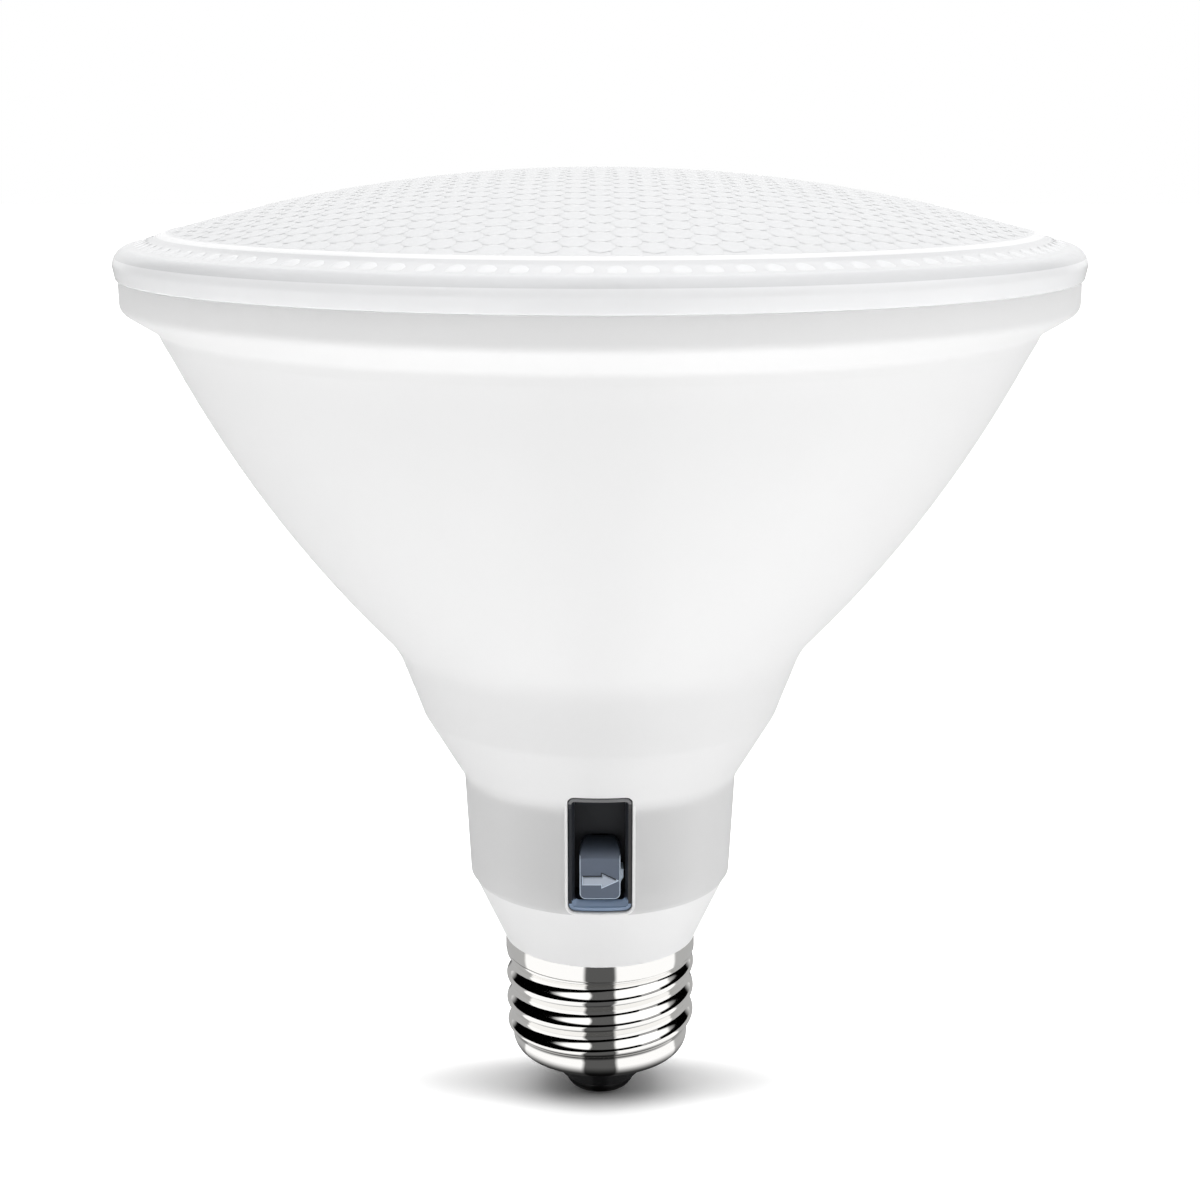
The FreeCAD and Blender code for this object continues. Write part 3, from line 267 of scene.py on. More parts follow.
world = bpy.data.worlds.new("studio")
world.use_nodes = True
bpy.context.scene.world = world
air = world.node_tree
direction = air.nodes.new("ShaderNodeTexCoord").outputs["Generated"]
toward = separated(air, direction)
height = math_node(air, "MAXIMUM", toward["Z"], 0.0)
curved = math_node(air, "POWER", height, SKY_CURVE)
curved = math_node(air, "MULTIPLY", curved, SKY_RISE)
toward_right = math_node(air, "MULTIPLY", toward["X"], -math.sin(DARK_SIDE))
toward_back = math_node(air, "MULTIPLY", toward["Y"], math.cos(DARK_SIDE))
behind = math_node(air, "ADD", toward_right, toward_back)
behind = math_node(air, "MULTIPLY", behind, SKY_BACK / 2)
behind = math_node(air, "ADD", behind, SKY_BACK / 2 + SKY_LOW)
soft_sky = math_node(air, "ADD", curved, behind)
print("sky overhead:", round(SKY_LOW + SKY_BACK / 2 + SKY_RISE, 2))

# %% World: what reflections see
SHINE_SKY = 1.15
SHINE_LINE_TOP = 0.46
SHINE_LINE_LEAN = 0.13
SHINE_LINE_BLUR = 0.08
SHINE_BACK = 0.85
BACK_START = 0.62
BACK_BLUR = 0.2

cards = air.nodes.new("ShaderNodeGroup")
cards.node_tree = CARD_GROUP
fill(cards, {"Direction": direction})
line_lean = math_node(air, "MULTIPLY", toward["X"], SHINE_LINE_LEAN)
above_line = math_node(air, "ADD", toward["Z"], line_lean)
above_line = math_node(air, "SUBTRACT", above_line, SHINE_LINE_TOP)
above_line = math_node(air, "DIVIDE", above_line, SHINE_LINE_BLUR, clamp=True)
shine = math_node(air, "MULTIPLY", cards.outputs["Brightness"], above_line)
shine = math_node(air, "MULTIPLY", shine, SHINE_SKY)
back_share = math_node(air, "SUBTRACT", toward["Y"], BACK_START)
back_share = math_node(air, "DIVIDE", back_share, BACK_BLUR, clamp=True)
shine = picked(air, back_share, shine, SHINE_BACK)
path = air.nodes.new("ShaderNodeLightPath").outputs
lit = picked(air, path["Is Glossy Ray"], soft_sky, shine)
seen = picked(air, path["Is Camera Ray"], lit, 1.0)
fill(air.nodes["Background"], {"Color": seen})
print("reflected sky:", SHINE_SKY, "and straight behind:", SHINE_BACK)

# %% [markdown]
# ## Paper
#
# The paper is bright enough to burn out to white in the picture, and it throws its light up under
# the cone. All that is left of the lamp's own shadow is a dark oval round the contact, a little
# behind it, that soon fades out. The paper glows, so the shadow is drawn as a lack of glow. What
# metal sees of the paper is darker close to the base, a painted shadow, and has the cards in it.

# %% Paper
FLOOR_SIZE = 6.0

clear_selection()
bpy.ops.mesh.primitive_plane_add(size=FLOOR_SIZE, location=(0, 0, 0))
floor = bpy.context.object
floor.name = "floor"
paper, paper_tree, paper_shader = new_material("paper")
paper_look = {
    "Base Color": (0.95, 0.95, 0.95, 1),
    "Roughness": 0.9,
    "Specular IOR Level": 0.0,
    "Emission Color": (1, 1, 1, 1),
}
fill(paper_shader, paper_look)
paper_place = object_place(paper_tree)
fibre = noise(paper_tree, paper_place, {"Scale": 900.0})
bumped(paper_tree, fibre, strength=0.1, depth=0.05 * MM)
floor.data.materials.append(paper)
print("paper's side, m:", FLOOR_SIZE)

# %% The paper's glow and reflection
# A soft change is where it starts and stops, and its values there.
SHADOW_REACH = (31 * MM, 8.0 * MM)
SHADOW_BACK = 1.0 * MM
SHADOW_END = (0.4, 1.5, 0.02, 0.7)
NEAR_BASE_SHADOW = (10 * MM, 24 * MM, 0.03, 1.0)
PAPER_GLOW = 0.21
PAPER_SHINE = 1.08


def floor_distance(reach, back=0.0):
    """How far a place on the paper is from the contact, measured in an oval's own radii."""
    in_radii = (1 / reach[0], 1 / reach[1], 0)
    moved = (0, -back / reach[1], 0)
    oval = vector_node(paper_tree, "MULTIPLY_ADD", paper_place, in_radii, moved)
    return vector_node(paper_tree, "LENGTH", oval)


paper_path = paper_tree.nodes.new("ShaderNodeLightPath").outputs
shadow_place = floor_distance(SHADOW_REACH, SHADOW_BACK)
seen_glow = smooth_step(paper_tree, shadow_place, *SHADOW_END)
glow = picked(paper_tree, paper_path["Is Camera Ray"], PAPER_GLOW, seen_glow)
fill(paper_shader, {"Emission Strength": glow})
paper_cards = paper_tree.nodes.new("ShaderNodeGroup")
paper_cards.node_tree = CARD_GROUP
fill(paper_cards, {"Direction": paper_place})
shine_level = math_node(paper_tree, "MULTIPLY", paper_cards.outputs["Brightness"], PAPER_SHINE)
# Painted shadow in reflections: what metal sees of the paper darkens towards the base.
painted_base_shadow = smooth_step(paper_tree, floor_distance((1, 1)), *NEAR_BASE_SHADOW)
shine_level = math_node(paper_tree, "MULTIPLY", shine_level, painted_base_shadow)
card_shade = paper_tree.nodes.new("ShaderNodeEmission")
fill(card_shade, {"Strength": shine_level})
paper_mix = paper_tree.nodes.new("ShaderNodeMixShader")
fill(paper_mix, {0: paper_path["Is Glossy Ray"], 1: paper_shader.outputs[0]})
fill(paper_mix, {2: card_shade.outputs[0]})
fill(paper_tree.nodes["Material Output"], {"Surface": paper_mix.outputs[0]})
print("shadow's half width, mm:", round(SHADOW_REACH[0] / MM, 1))

# %% [markdown]
# ## Lamps
#
# The sky does most of the lighting. A soft lamp above and behind brightens the lens, and a small
# one at the right gives the body the slight lead that its right side has in the photo.

# %% Lamps
# Each row is a name, a place, the place that it points at, a size and a power.
LAMPS = (
    ("top_light", (0.0, 0.35, 0.75), (0, 0, parting), 0.5, 0.6),
    ("right_light", (0.55, -0.30, 0.22), (0, 0, 0.06), 0.3, 0.12),
)


def area_light(name, place, aim, size, power):
    """A square soft light at a place, pointing at another."""
    data = bpy.data.lights.new(name, "AREA")
    data.shape = "SQUARE"
    data.size = size
    data.energy = power
    light = bpy.data.objects.new(name, data)
    light.location = place
    turn = (Vector(aim) - Vector(place)).to_track_quat("-Z", "Y")
    light.rotation_euler = turn.to_euler()
    bpy.context.scene.collection.objects.link(light)


for lamp in LAMPS:
    area_light(*lamp)
bpy.context.scene.view_settings.view_transform = "Standard"

# %% [markdown]
# ## Shared effects
#
# Moulded plastic is never one flat colour. It has a fine grain that scatters the light and broad,
# faint changes of tone where the wall is thicker. Both are the same kind of pattern on every
# plastic piece, at other sizes and depths, so they are one node group with named inputs.

# %% Node group: moulded grain


def moulded_grain():
    """A group that puts out a colour with faint broad tones, a roughness and a bump height."""
    tree = bpy.data.node_groups.new("moulded grain", "ShaderNodeTree")
    group_socket(tree, "Colour", "NodeSocketColor", "INPUT")
    group_socket(tree, "Grain Scale", "NodeSocketFloat", "INPUT")
    group_socket(tree, "Tone", "NodeSocketFloat", "INPUT")
    group_socket(tree, "Roughness", "NodeSocketFloat", "INPUT")
    group_socket(tree, "Spread", "NodeSocketFloat", "INPUT")
    group_socket(tree, "Colour", "NodeSocketColor", "OUTPUT")
    group_socket(tree, "Roughness", "NodeSocketFloat", "OUTPUT")
    group_socket(tree, "Height", "NodeSocketFloat", "OUTPUT")
    given = tree.nodes.new("NodeGroupInput")
    result = tree.nodes.new("NodeGroupOutput")
    place = object_place(tree)
    fine = noise(tree, place, {"Scale": given.outputs["Grain Scale"], "Detail": 3.0})
    broad = noise(tree, place, {"Scale": 35.0, "Detail": 1.0})
    swing = math_node(tree, "SUBTRACT", broad, 0.5)
    swing = math_node(tree, "MULTIPLY", swing, given.outputs["Tone"])
    shade = math_node(tree, "ADD", swing, 1.0)
    mix = tree.nodes.new("ShaderNodeMix")
    mix.data_type = "RGBA"
    mix.blend_type = "MULTIPLY"
    fill(mix, {"Factor": 1.0, "A": given.outputs["Colour"], "B": shade})
    change = math_node(tree, "SUBTRACT", fine, 0.5)
    change = math_node(tree, "MULTIPLY", change, given.outputs["Spread"])
    rough = math_node(tree, "ADD", given.outputs["Roughness"], change, clamp=True)
    fill(result, {"Colour": mix.outputs["Result"], "Roughness": rough, "Height": fine})
    return tree


GRAIN = moulded_grain()
print("group sockets:", [s.name for s in GRAIN.interface.items_tree])

# %% [markdown]
# ## Plastics
#
# The body is a satin white with a very fine grain. The tub and the knob are darker plastics of the
# same family: charcoal and slate. Each is the grain group with its own colour, gloss and depth.

# %% Plastic materials
FINISHES = {}


def grained(name, colour, roughness, grain_scale, depth, tone=0.02):
    """A plastic whose colour, gloss and bump come from the grain group."""
    material, tree, shader = new_material(name)
    grain = tree.nodes.new("ShaderNodeGroup")
    grain.node_tree = GRAIN
    look = {
        "Colour": (*colour, 1),
        "Grain Scale": grain_scale,
        "Tone": tone,
        "Roughness": roughness,
        "Spread": 0.08,
    }
    fill(grain, look)
    given = grain.outputs
    fill(shader, {"Base Color": given["Colour"], "Roughness": given["Roughness"]})
    bumped(tree, given["Height"], strength=0.25, depth=depth * MM)
    FINISHES[name] = material
    return material


# Each row is a name, colour, roughness, the grain's scale, its depth in mm and, where it isn't the
# usual one, the strength of the broad tones.
PLASTICS = (
    ("body white", (0.87, 0.87, 0.87), 0.42, 3500, 0.03),
    # The window edge's whiter white is a painted highlight.
    ("window edge white", (0.97, 0.97, 0.97), 0.3, 3500, 0.02),
    ("collar white", (0.95, 0.95, 0.95), 0.45, 3500, 0.03),
    ("lens white", (0.96, 0.965, 0.975), 0.22, 1500, 0.01, 0.01),
    # The lens ring's white is a painted highlight; the dome's and the pads' greys are painted
    # shade.
    ("lens ring white", (0.94, 0.94, 0.95), 0.18, 1500, 0.01, 0.01),
    ("lens dome white", (0.775, 0.78, 0.79), 0.22, 1500, 0.01, 0.01),
    ("lens pad white", (0.85, 0.855, 0.865), 0.2, 1500, 0.01, 0.01),
    ("tub charcoal", (0.032, 0.036, 0.044), 0.38, 2500, 0.04, 0.1),
    # The tub's frame, rim and ledge are lighter copies of its charcoal: painted light.
    ("tub frame", (0.08, 0.078, 0.08), 0.35, 2500, 0.04, 0.1),
    ("tub rim", (0.22, 0.22, 0.225), 0.35, 2500, 0.04, 0.1),
    ("tub ledge", (0.36, 0.48, 0.67), 0.35, 2500, 0.04, 0.1),
    ("knob slate", (0.15, 0.185, 0.25), 0.36, 2500, 0.04, 0.08),
    ("arrow grey", (0.50, 0.56, 0.66), 0.32, 2500, 0.04, 0.08),
    # Painted highlight for the knob's edges.
    ("knob edges", (0.74, 0.86, 1.0), 0.32, 2500, 0.04, 0.08),
    ("insulator black", (0.012, 0.012, 0.013), 0.16, 900, 0.02, 0.2),
    ("switch black", (0.03, 0.03, 0.03), 0.5, 2500, 0.04, 0.1),
    ("socket white", (0.8, 0.8, 0.76), 0.5, 2500, 0.04),
    ("reflector white", (0.9, 0.9, 0.9), 0.3, 1500, 0.02),
    ("gasket grey", (0.35, 0.35, 0.36), 0.7, 1800, 0.05, 0.08),
    ("pad grey", (0.45, 0.47, 0.5), 0.65, 1200, 0.05, 0.1),
    ("board white", (0.82, 0.82, 0.8), 0.35, 900, 0.01),
    ("board green", (0.03, 0.16, 0.06), 0.35, 900, 0.02, 0.2),
    ("phosphor yellow", (0.85, 0.66, 0.18), 0.5, 6000, 0.02, 0.1),
    ("tape yellow", (0.75, 0.55, 0.06), 0.35, 700, 0.03, 0.15),
    ("can black", (0.02, 0.025, 0.04), 0.3, 700, 0.02, 0.2),
    ("film red", (0.3, 0.03, 0.02), 0.25, 500, 0.05, 0.3),
    ("fuse green", (0.12, 0.25, 0.16), 0.45, 1500, 0.03, 0.2),
    ("wire red", (0.45, 0.02, 0.02), 0.4, 1500, 0.02, 0.1),
    ("wire white", (0.8, 0.8, 0.78), 0.4, 1500, 0.02, 0.05),
    ("ferrite", (0.05, 0.05, 0.055), 0.55, 1800, 0.08, 0.3),
)
for row in PLASTICS:
    grained(*row)
milky = {
    "Subsurface Weight": 0.12,
    "Subsurface Radius": (1.0, 1.0, 1.0),
    "Subsurface Scale": 0.6 * MM,
}
for name in ("lens white", "lens ring white", "lens dome white", "lens pad white"):
    fill(shader_of(FINISHES[name]), milky)
fill(shader_of(FINISHES["insulator black"]), {"Specular IOR Level": 0.3})
print("plastics:", len(PLASTICS))

# %% [markdown]
# ## Metals
#
# The screw shell is rolled from thin sheet and plated, so it is bright, with faint fine lines round
# it where the rollers ran. The tip contact is duller metal, and darker still with painted shade,
# for the shadow it stands in. The cup inside is pressed aluminium.

# %% Metal materials


def rolled_metal(name, colour, roughness, line_scale, depth):
    """A metal with fine lines round the lamp's axis, from a noise stretched across the height."""
    material, tree, shader = new_material(name)
    place = object_place(tree)
    stretch = tree.nodes.new("ShaderNodeMapping")
    fill(stretch, {"Scale": (0.04, 0.04, 1.0), "Vector": place})
    lines = noise(tree, stretch.outputs["Vector"], {"Scale": line_scale, "Detail": 4.0})
    bumped(tree, lines, strength=0.15, depth=depth * MM)
    clouds = noise(tree, place, {"Scale": 180.0})
    change = math_node(tree, "SUBTRACT", clouds, 0.5)
    change = math_node(tree, "MULTIPLY", change, roughness)
    rough = math_node(tree, "ADD", change, roughness, clamp=True)
    fill(shader, {"Base Color": (*colour, 1), "Metallic": 1.0, "Roughness": rough})
    FINISHES[name] = material


# Each row is a name, colour, roughness, the lines' scale and their depth in mm.
METALS = (
    ("nickel plate", (0.92, 0.91, 0.89), 0.06, 2500, 0.004),
    # Painted shade: the tip metal is kept almost black.
    ("tip metal", (0.09, 0.09, 0.09), 0.3, 2500, 0.01),
    ("pressed aluminium", (0.75, 0.76, 0.77), 0.3, 1500, 0.02),
    ("zinc steel", (0.6, 0.6, 0.58), 0.25, 1500, 0.02),
    ("spring brass", (0.72, 0.52, 0.22), 0.22, 1500, 0.01),
    ("copper wire", (0.65, 0.26, 0.12), 0.3, 4000, 0.03),
)
for row in METALS:
    rolled_metal(*row)
print("metals:", len(METALS))

# %% [markdown]
# ## Turned pieces
#
# Most of a lamp is round, so most of its pieces are turned: an outline is drawn from one point with
# extrusions, in the plane through the axis, and spun all the way round. Sizes here are millimetres,
# as (radius, height). A third number in a corner is the rounding of that corner.

# %% Outlines and turning
TURN_STEPS = 192
WELD = 0.002 * MM
FINE_WELD = 0.0005 * MM


def rounded(corners, sides=5):
    """The outline's points, with each corner's rounding drawn as short sides."""
    points = []
    for index, corner in enumerate(corners):
        if len(corner) == 2:
            points.append(Vector(corner))
            continue
        here = Vector(corner[:2])
        before = Vector(corners[index - 1][:2])
        after = Vector(corners[(index + 1) % len(corners)][:2])
        come = (before - here).normalized()
        leave = (after - here).normalized()
        half = come.angle(leave) / 2
        centre = here + (come + leave).normalized() * (corner[2] / math.sin(half))
        start = here + come * (corner[2] / math.tan(half)) - centre
        finish = here + leave * (corner[2] / math.tan(half)) - centre
        begin = math.atan2(start.y, start.x)
        sweep = math.atan2(start.cross(finish), start.dot(finish))
        for side in range(sides + 1):
            angle = begin + sweep * side / sides
            points.append(centre + Vector((math.cos(angle), math.sin(angle))) * corner[2])
    return points


def drawn(name, points, front=0.0):
    """An outline in an upright plane, drawn by extruding one point. It is left in edit mode."""
    clear_selection()
    bpy.ops.mesh.primitive_plane_add(size=MM)
    line = bpy.context.object
    line.name = name
    edit_mode()
    bpy.ops.mesh.select_mode(type="VERT")
    bpy.ops.mesh.merge(type="CENTER")
    bpy.ops.transform.translate(value=(points[0][0] * MM, -front * MM, points[0][1] * MM))
    for before, after in zip(points, points[1:]):
        step = ((after[0] - before[0]) * MM, 0, (after[1] - before[1]) * MM)
        bpy.ops.mesh.extrude_region_move(TRANSFORM_OT_translate={"value": step})
    return line


def turned(name, points, steps=TURN_STEPS):
    """A piece whose outline is drawn, then spun round the lamp's axis."""
    piece = drawn(name, points)
    select_all()
    bpy.ops.mesh.spin(steps=steps, angle=2 * math.pi, center=(0, 0, 0), axis=(0, 0, 1))
    select_all()
    bpy.ops.mesh.remove_doubles(threshold=WELD)
    bpy.ops.mesh.normals_make_consistent(inside=False)
    object_mode()
    return piece


def dressed(piece, finish, body, slot_name, *stands_for, smooth=30):
    """Gives a finished piece its finish, its smooth shading and its place in the lamp."""
    select_only(piece)
    bpy.ops.object.shade_smooth_by_angle(angle=math.radians(smooth))
    if not piece.data.materials:
        finished(piece, finish)
    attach(piece, body)
    if stands_for:
        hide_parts(*stands_for)
    print(piece.name, "faces:", len(piece.data.polygons))


def finished(piece, *finishes):
    """Adds finishes to a piece, in the order of their numbers."""
    for finish in finishes:
        piece.data.materials.append(FINISHES[finish])


# %% [markdown]
# ## The lens
#
# The lens is one clear-white moulding: a dome of a large sphere, a smooth raised ring near its
# edge, a sloping shoulder and an upright side. Its pebbles would be heavy as a displacement map,
# and a bump would leave its outline and its highlights flat. So the smooth blank is turned first,
# a little below the real surface, and the pebbles are modelled and set on it.

# %% The smooth lens blank
PARTING = rim_high.z / MM
DOME_RADIUS = 196.0
DOME_HEIGHT = 13.05
DOME_CENTRE = PARTING + DOME_HEIGHT - DOME_RADIUS
DOME_EDGE = 53.0
DOME_STEPS = 24
SUNK = -0.11
SHOULDER_SUNK = -0.16
SHOULDER_ROUND = 2.4
SHOULDER_RISE = 1.568
SHOULDER_SWEEP = 71
SHOULDER_STEPS = 8
SKIRT = (57.6, 55.4, 2.6)
LENS_RADIUS = 60.998
LENS_WALL = 2.0
# The ring and the slope beyond it are (radius, lift off the dome).
RING = ((53.7, -0.09), (54.0, -0.05), (54.4, 0.05), (54.8, 0.12), (55.2, 0.12), (55.6, 0.05))
SLOPE = ((56.0, -0.08), (56.4, SHOULDER_SUNK), (57.2, SHOULDER_SUNK), (58.2, SHOULDER_SUNK))
SLOPE += ((59.0, -0.10),)


def on_dome(radius, lift):
    """A point of the outline that is lifted off the dome's sphere by an amount."""
    reach = DOME_RADIUS + lift
    return Vector((radius, DOME_CENTRE + math.sqrt(reach * reach - radius * radius)))


lens_points = [on_dome(DOME_EDGE * step / DOME_STEPS, SUNK) for step in range(DOME_STEPS + 1)]
lens_points += [on_dome(radius, lift) for radius, lift in RING + SLOPE]
shoulder_middle = Vector((LENS_RADIUS - SHOULDER_ROUND, PARTING + SHOULDER_RISE))
for step in range(SHOULDER_STEPS + 1):
    tilt = math.radians(SHOULDER_SWEEP - SHOULDER_SWEEP * step / SHOULDER_STEPS)
    way = Vector((math.cos(tilt), math.sin(tilt)))
    lens_points.append(shoulder_middle + way * SHOULDER_ROUND)
skirt_radius, skirt_bore, skirt_depth = SKIRT
lens_points += rounded(
    [
        (60.78, PARTING + 0.35),
        (60.7, PARTING, 0.2),
        (skirt_radius, PARTING),
        (skirt_radius, PARTING - skirt_depth),
        (skirt_bore, PARTING - skirt_depth),
    ]
)
inner = DOME_RADIUS - LENS_WALL
lens_points += [
    Vector((radius, DOME_CENTRE + math.sqrt(inner * inner - radius * radius)))
    for radius in (skirt_bore, 42.0, 28.0, 14.0, 0.0)
]
lens = turned("lens_moulding", lens_points)

# %% [markdown]
# A pebble is a low six-sided pillow: a hexagon whose sides are cut in two, inset three times with
# a rise each time, and closed with a point. Two of them, half a step apart, are a cell that two
# Array modifiers repeat into a field. The field is trimmed to a disc and lifted onto the sphere.

# %% One pebble
PEBBLE_PITCH = 3.2 * MM
PEBBLE_RISE = 0.09 * MM
FIELD_RADIUS = 53.9 * MM
FIELD_LIFT = -0.003
# Each inset is a width in mm and a share of the rise.
INSETS = ((0.22, 0.42), (0.34, 0.34), (0.5, 0.18))
PEBBLE_POINT = 0.06


def hexagon(place):
    """A six-sided pillow at a place, in edit mode."""
    select_none()
    bpy.ops.mesh.primitive_circle_add(
        vertices=6, radius=PEBBLE_PITCH / math.sqrt(3), fill_type="NGON", location=place
    )
    bpy.ops.mesh.subdivide(number_cuts=1)
    for width, rise in INSETS:
        bpy.ops.mesh.inset(thickness=width * MM, depth=rise * PEBBLE_RISE)
    bpy.ops.mesh.poke(offset=PEBBLE_POINT * PEBBLE_RISE)


clear_selection()
bpy.ops.mesh.primitive_plane_add(size=MM)
pebbles = bpy.context.object
pebbles.name = "lens_pebbles"
edit_mode()
bpy.ops.mesh.delete(type="VERT")
row_step = PEBBLE_PITCH * math.sqrt(3) / 2
hexagon((0, 0, 0))
hexagon((row_step, PEBBLE_PITCH / 2, 0))
object_mode()
print("faces of a pebble cell:", len(pebbles.data.polygons))

# %% The pebble field
CELLS_ACROSS = 40
CELLS_ALONG = 36


def array(piece, count, step):
    """Repeats a piece along a step with an Array modifier, which is applied."""
    repeat = piece.modifiers.new("repeat", "ARRAY")
    repeat.count = count
    repeat.use_relative_offset = False
    repeat.use_constant_offset = True
    repeat.constant_offset_displace = step
    bpy.ops.object.modifier_apply(modifier=repeat.name)


def nearest_pebble(x, y):
    """The middle of the pebble that holds a place."""
    middles = []
    for column in (math.floor(x / row_step), math.floor(x / row_step) + 1):
        shift = PEBBLE_PITCH / 2 if column % 2 else 0.0
        along = round((y - shift) / PEBBLE_PITCH) * PEBBLE_PITCH + shift
        middles.append(Vector((column * row_step, along)))
    return min(middles, key=lambda middle: (middle - Vector((x, y))).length)


array(pebbles, CELLS_ACROSS // 2, (2 * row_step, 0, 0))
array(pebbles, CELLS_ALONG, (0, PEBBLE_PITCH, 0))
edit_mode()
select_all()
half_across = (CELLS_ACROSS // 4) * 2 * row_step
half_along = (CELLS_ALONG // 2) * PEBBLE_PITCH
bpy.ops.transform.translate(value=(-half_across, -half_along, 0))
bpy.ops.mesh.remove_doubles(threshold=WELD)
bpy.ops.mesh.select_mode(type="FACE")
select_none()
object_mode()
for face in pebbles.data.polygons:
    middle = nearest_pebble(face.center.x, face.center.y)
    face.select = middle.length > FIELD_RADIUS
edit_mode()
bpy.ops.mesh.delete(type="FACE")
object_mode()
for point in pebbles.data.vertices:
    radius = math.hypot(point.co.x, point.co.y) / MM
    point.co.z += on_dome(radius, FIELD_LIFT).y * MM - PEBBLE_RISE
print("faces of the field:", len(pebbles.data.polygons))

# %% [markdown]
# Round the shoulder stands a row of small raised pads, which catch the light as bright dots. One
# is modelled lying flat, tipped to the slope of the shoulder, and spun into a ring of copies.

# %% The shoulder pads
PAD_COUNT = 110
PAD_RADIUS = 58.05
PAD_HALF = 1.2
PAD_RISE = 0.1
PAD_INSETS = ((0.18, 0.55), (0.22, 0.33), (0.4, 0.12))
PAD_SUNK = 0.06
PAD_STRETCH = 1.4
PAD_TIP = math.radians(4)

clear_selection()
bpy.ops.mesh.primitive_circle_add(vertices=12, radius=PAD_HALF * MM, fill_type="NGON")
pads = bpy.context.object
pads.name = "lens_pads"
edit_mode()
for width, rise in PAD_INSETS:
    bpy.ops.mesh.inset(thickness=width * MM, depth=rise * PAD_RISE * MM)
bpy.ops.mesh.poke(offset=0)
select_all()
slope = math.asin(PAD_RADIUS / DOME_RADIUS) + PAD_TIP
pad_place = on_dome(PAD_RADIUS, SHOULDER_SUNK - PAD_SUNK)
object_mode()
for point in pads.data.vertices:
    point.co.x *= PAD_STRETCH
    across = point.co.x * math.cos(slope) + point.co.z * math.sin(slope)
    up = point.co.z * math.cos(slope) - point.co.x * math.sin(slope)
    point.co.x = across + pad_place.x * MM
    point.co.z = up + pad_place.y * MM
edit_mode()
select_all()
bpy.ops.mesh.spin(
    steps=PAD_COUNT, dupli=True, angle=2 * math.pi, center=(0, 0, 0), axis=(0, 0, 1)
)
select_all()
bpy.ops.mesh.remove_doubles(threshold=WELD)
object_mode()
print("faces of the pads:", len(pads.data.polygons))

# %% [markdown]
# The dome, the slope beside it and the pads are a little greyer than the ring, the shoulder and
# the side: painted shade. They face the brightest sky, and in the shoulder's white they would burn
# out. The ring's upward faces keep a near-full white, as a painted highlight.

# %% Dress the lens
# Painted shade on the upward faces; the ring band keeps a lighter white, a painted highlight.
RING_BAND = (54.3, 55.7)
FACES_UP = 0.5

finished(lens, "lens white", "lens ring white", "lens dome white")
for face in lens.data.polygons:
    reach = math.hypot(face.center.x, face.center.y) / MM
    on_ring = RING_BAND[0] < reach < RING_BAND[1]
    if face.normal.z > FACES_UP:
        face.material_index = 1 if on_ring else 2
dressed(lens, "lens white", "lamp", "lens_white", "lens", smooth=50)
dressed(pebbles, "lens dome white", "lamp", "lens_white", smooth=60)
dressed(pads, "lens pad white", "lamp", "lens_white", smooth=60)

# %% [markdown]
# ## The housing
#
# The upper moulding is a cone with a slightly bulging wall, from the waist to a rolled bead and the
# rim flange that holds the lens. Turning it anew gives its edges the small roundings that soften
# them in the photo, and a wall without facets. At its foot a thin skin runs on down over the
# neck's top, because the photo shows no seam there. Its ribs inside stay with the solid, because
# nothing shows them.

# %% Housing
CONE_ARC = 151.0
CONE_ARC_RADIUS = -81.28
CONE_ARC_HEIGHT = 170.53
WALL = 2.3
SEAM = rim_low.z / MM
SKIN = 1.8
CONE_FOOT = 67.5
CONE_TOP = 104.0
CONE_STEPS = 14


def cone_radius(height):
    """The outer radius of the bulging cone at a height."""
    return CONE_ARC_RADIUS + math.sqrt(CONE_ARC**2 - (height - CONE_ARC_HEIGHT) ** 2)


cone_heights = [
    CONE_FOOT + (CONE_TOP - CONE_FOOT) * step / CONE_STEPS for step in range(CONE_STEPS + 1)
]
outer_wall = [(cone_radius(height), height) for height in cone_heights]
inner_wall = [(radius - WALL, height) for radius, height in reversed(outer_wall)]
housing_points = rounded(
    [(25.0, SEAM - SKIN), (25.235, SEAM - SKIN), (27.2, SEAM + 3.5, 11.0)]
    + outer_wall
    + [
        (54.75, PARTING - 9.1, 1.2),
        (55.45, PARTING - 7.8, 1.2),
        (56.08, PARTING - 6.4, 2.0),
        (60.4, PARTING - 3.7, 1.4),
        (60.4, PARTING, 0.25),
        (58.0, PARTING, 0.2),
        (58.0, PARTING - 3.6),
        (53.0, PARTING - 3.6, 0.3),
    ]
    + inner_wall
    + [(24.9, SEAM + 3.5), (24.9, SEAM - SKIN)]
)
housing = turned("housing_moulding", housing_points + housing_points[:1])
dressed(housing, "body white", "lamp", "body_white", "housing", smooth=40)

# %% [markdown]
# ## The neck
#
# The neck has a window in its front wall. The solid has it already, with its true corners, so the
# neck is a merged copy of the solid, shaded smooth. The neck is greyer below its flare than on it,
# and greyer still near the window. That is painted shade: its white is scaled by the height and by
# the distance from the window.

# %% Merged copies


def merged_copy(name, node):
    """A copy of a solid's mesh with its loose triangles merged, as a new piece."""
    piece = nodes[node].copy()
    piece.data = nodes[node].data.copy()
    piece.name = name
    for key in list(piece.keys()):
        del piece[key]
    piece.parent = None
    piece.data.materials.clear()
    bpy.context.scene.collection.objects.link(piece)
    select_only(piece)
    edit_mode()
    bpy.ops.mesh.customdata_custom_splitnormals_clear()
    select_all()
    bpy.ops.mesh.remove_doubles(threshold=FINE_WELD)
    object_mode()
    return piece


print("merging distance, mm:", FINE_WELD / MM)

# %% Neck
# Painted shade: the neck's white is darker below the flare and darker still near the window.
NECK_SHADE_TONE = (0.77, 0.87)
NECK_SHADE_HEIGHTS = (45.8 * MM, 49.0 * MM)
WINDOW_PLACE = (0, -18 * MM, 0)
WINDOW_SHADE = (5.0 * MM, 15.0 * MM, 0.90, 1.0)

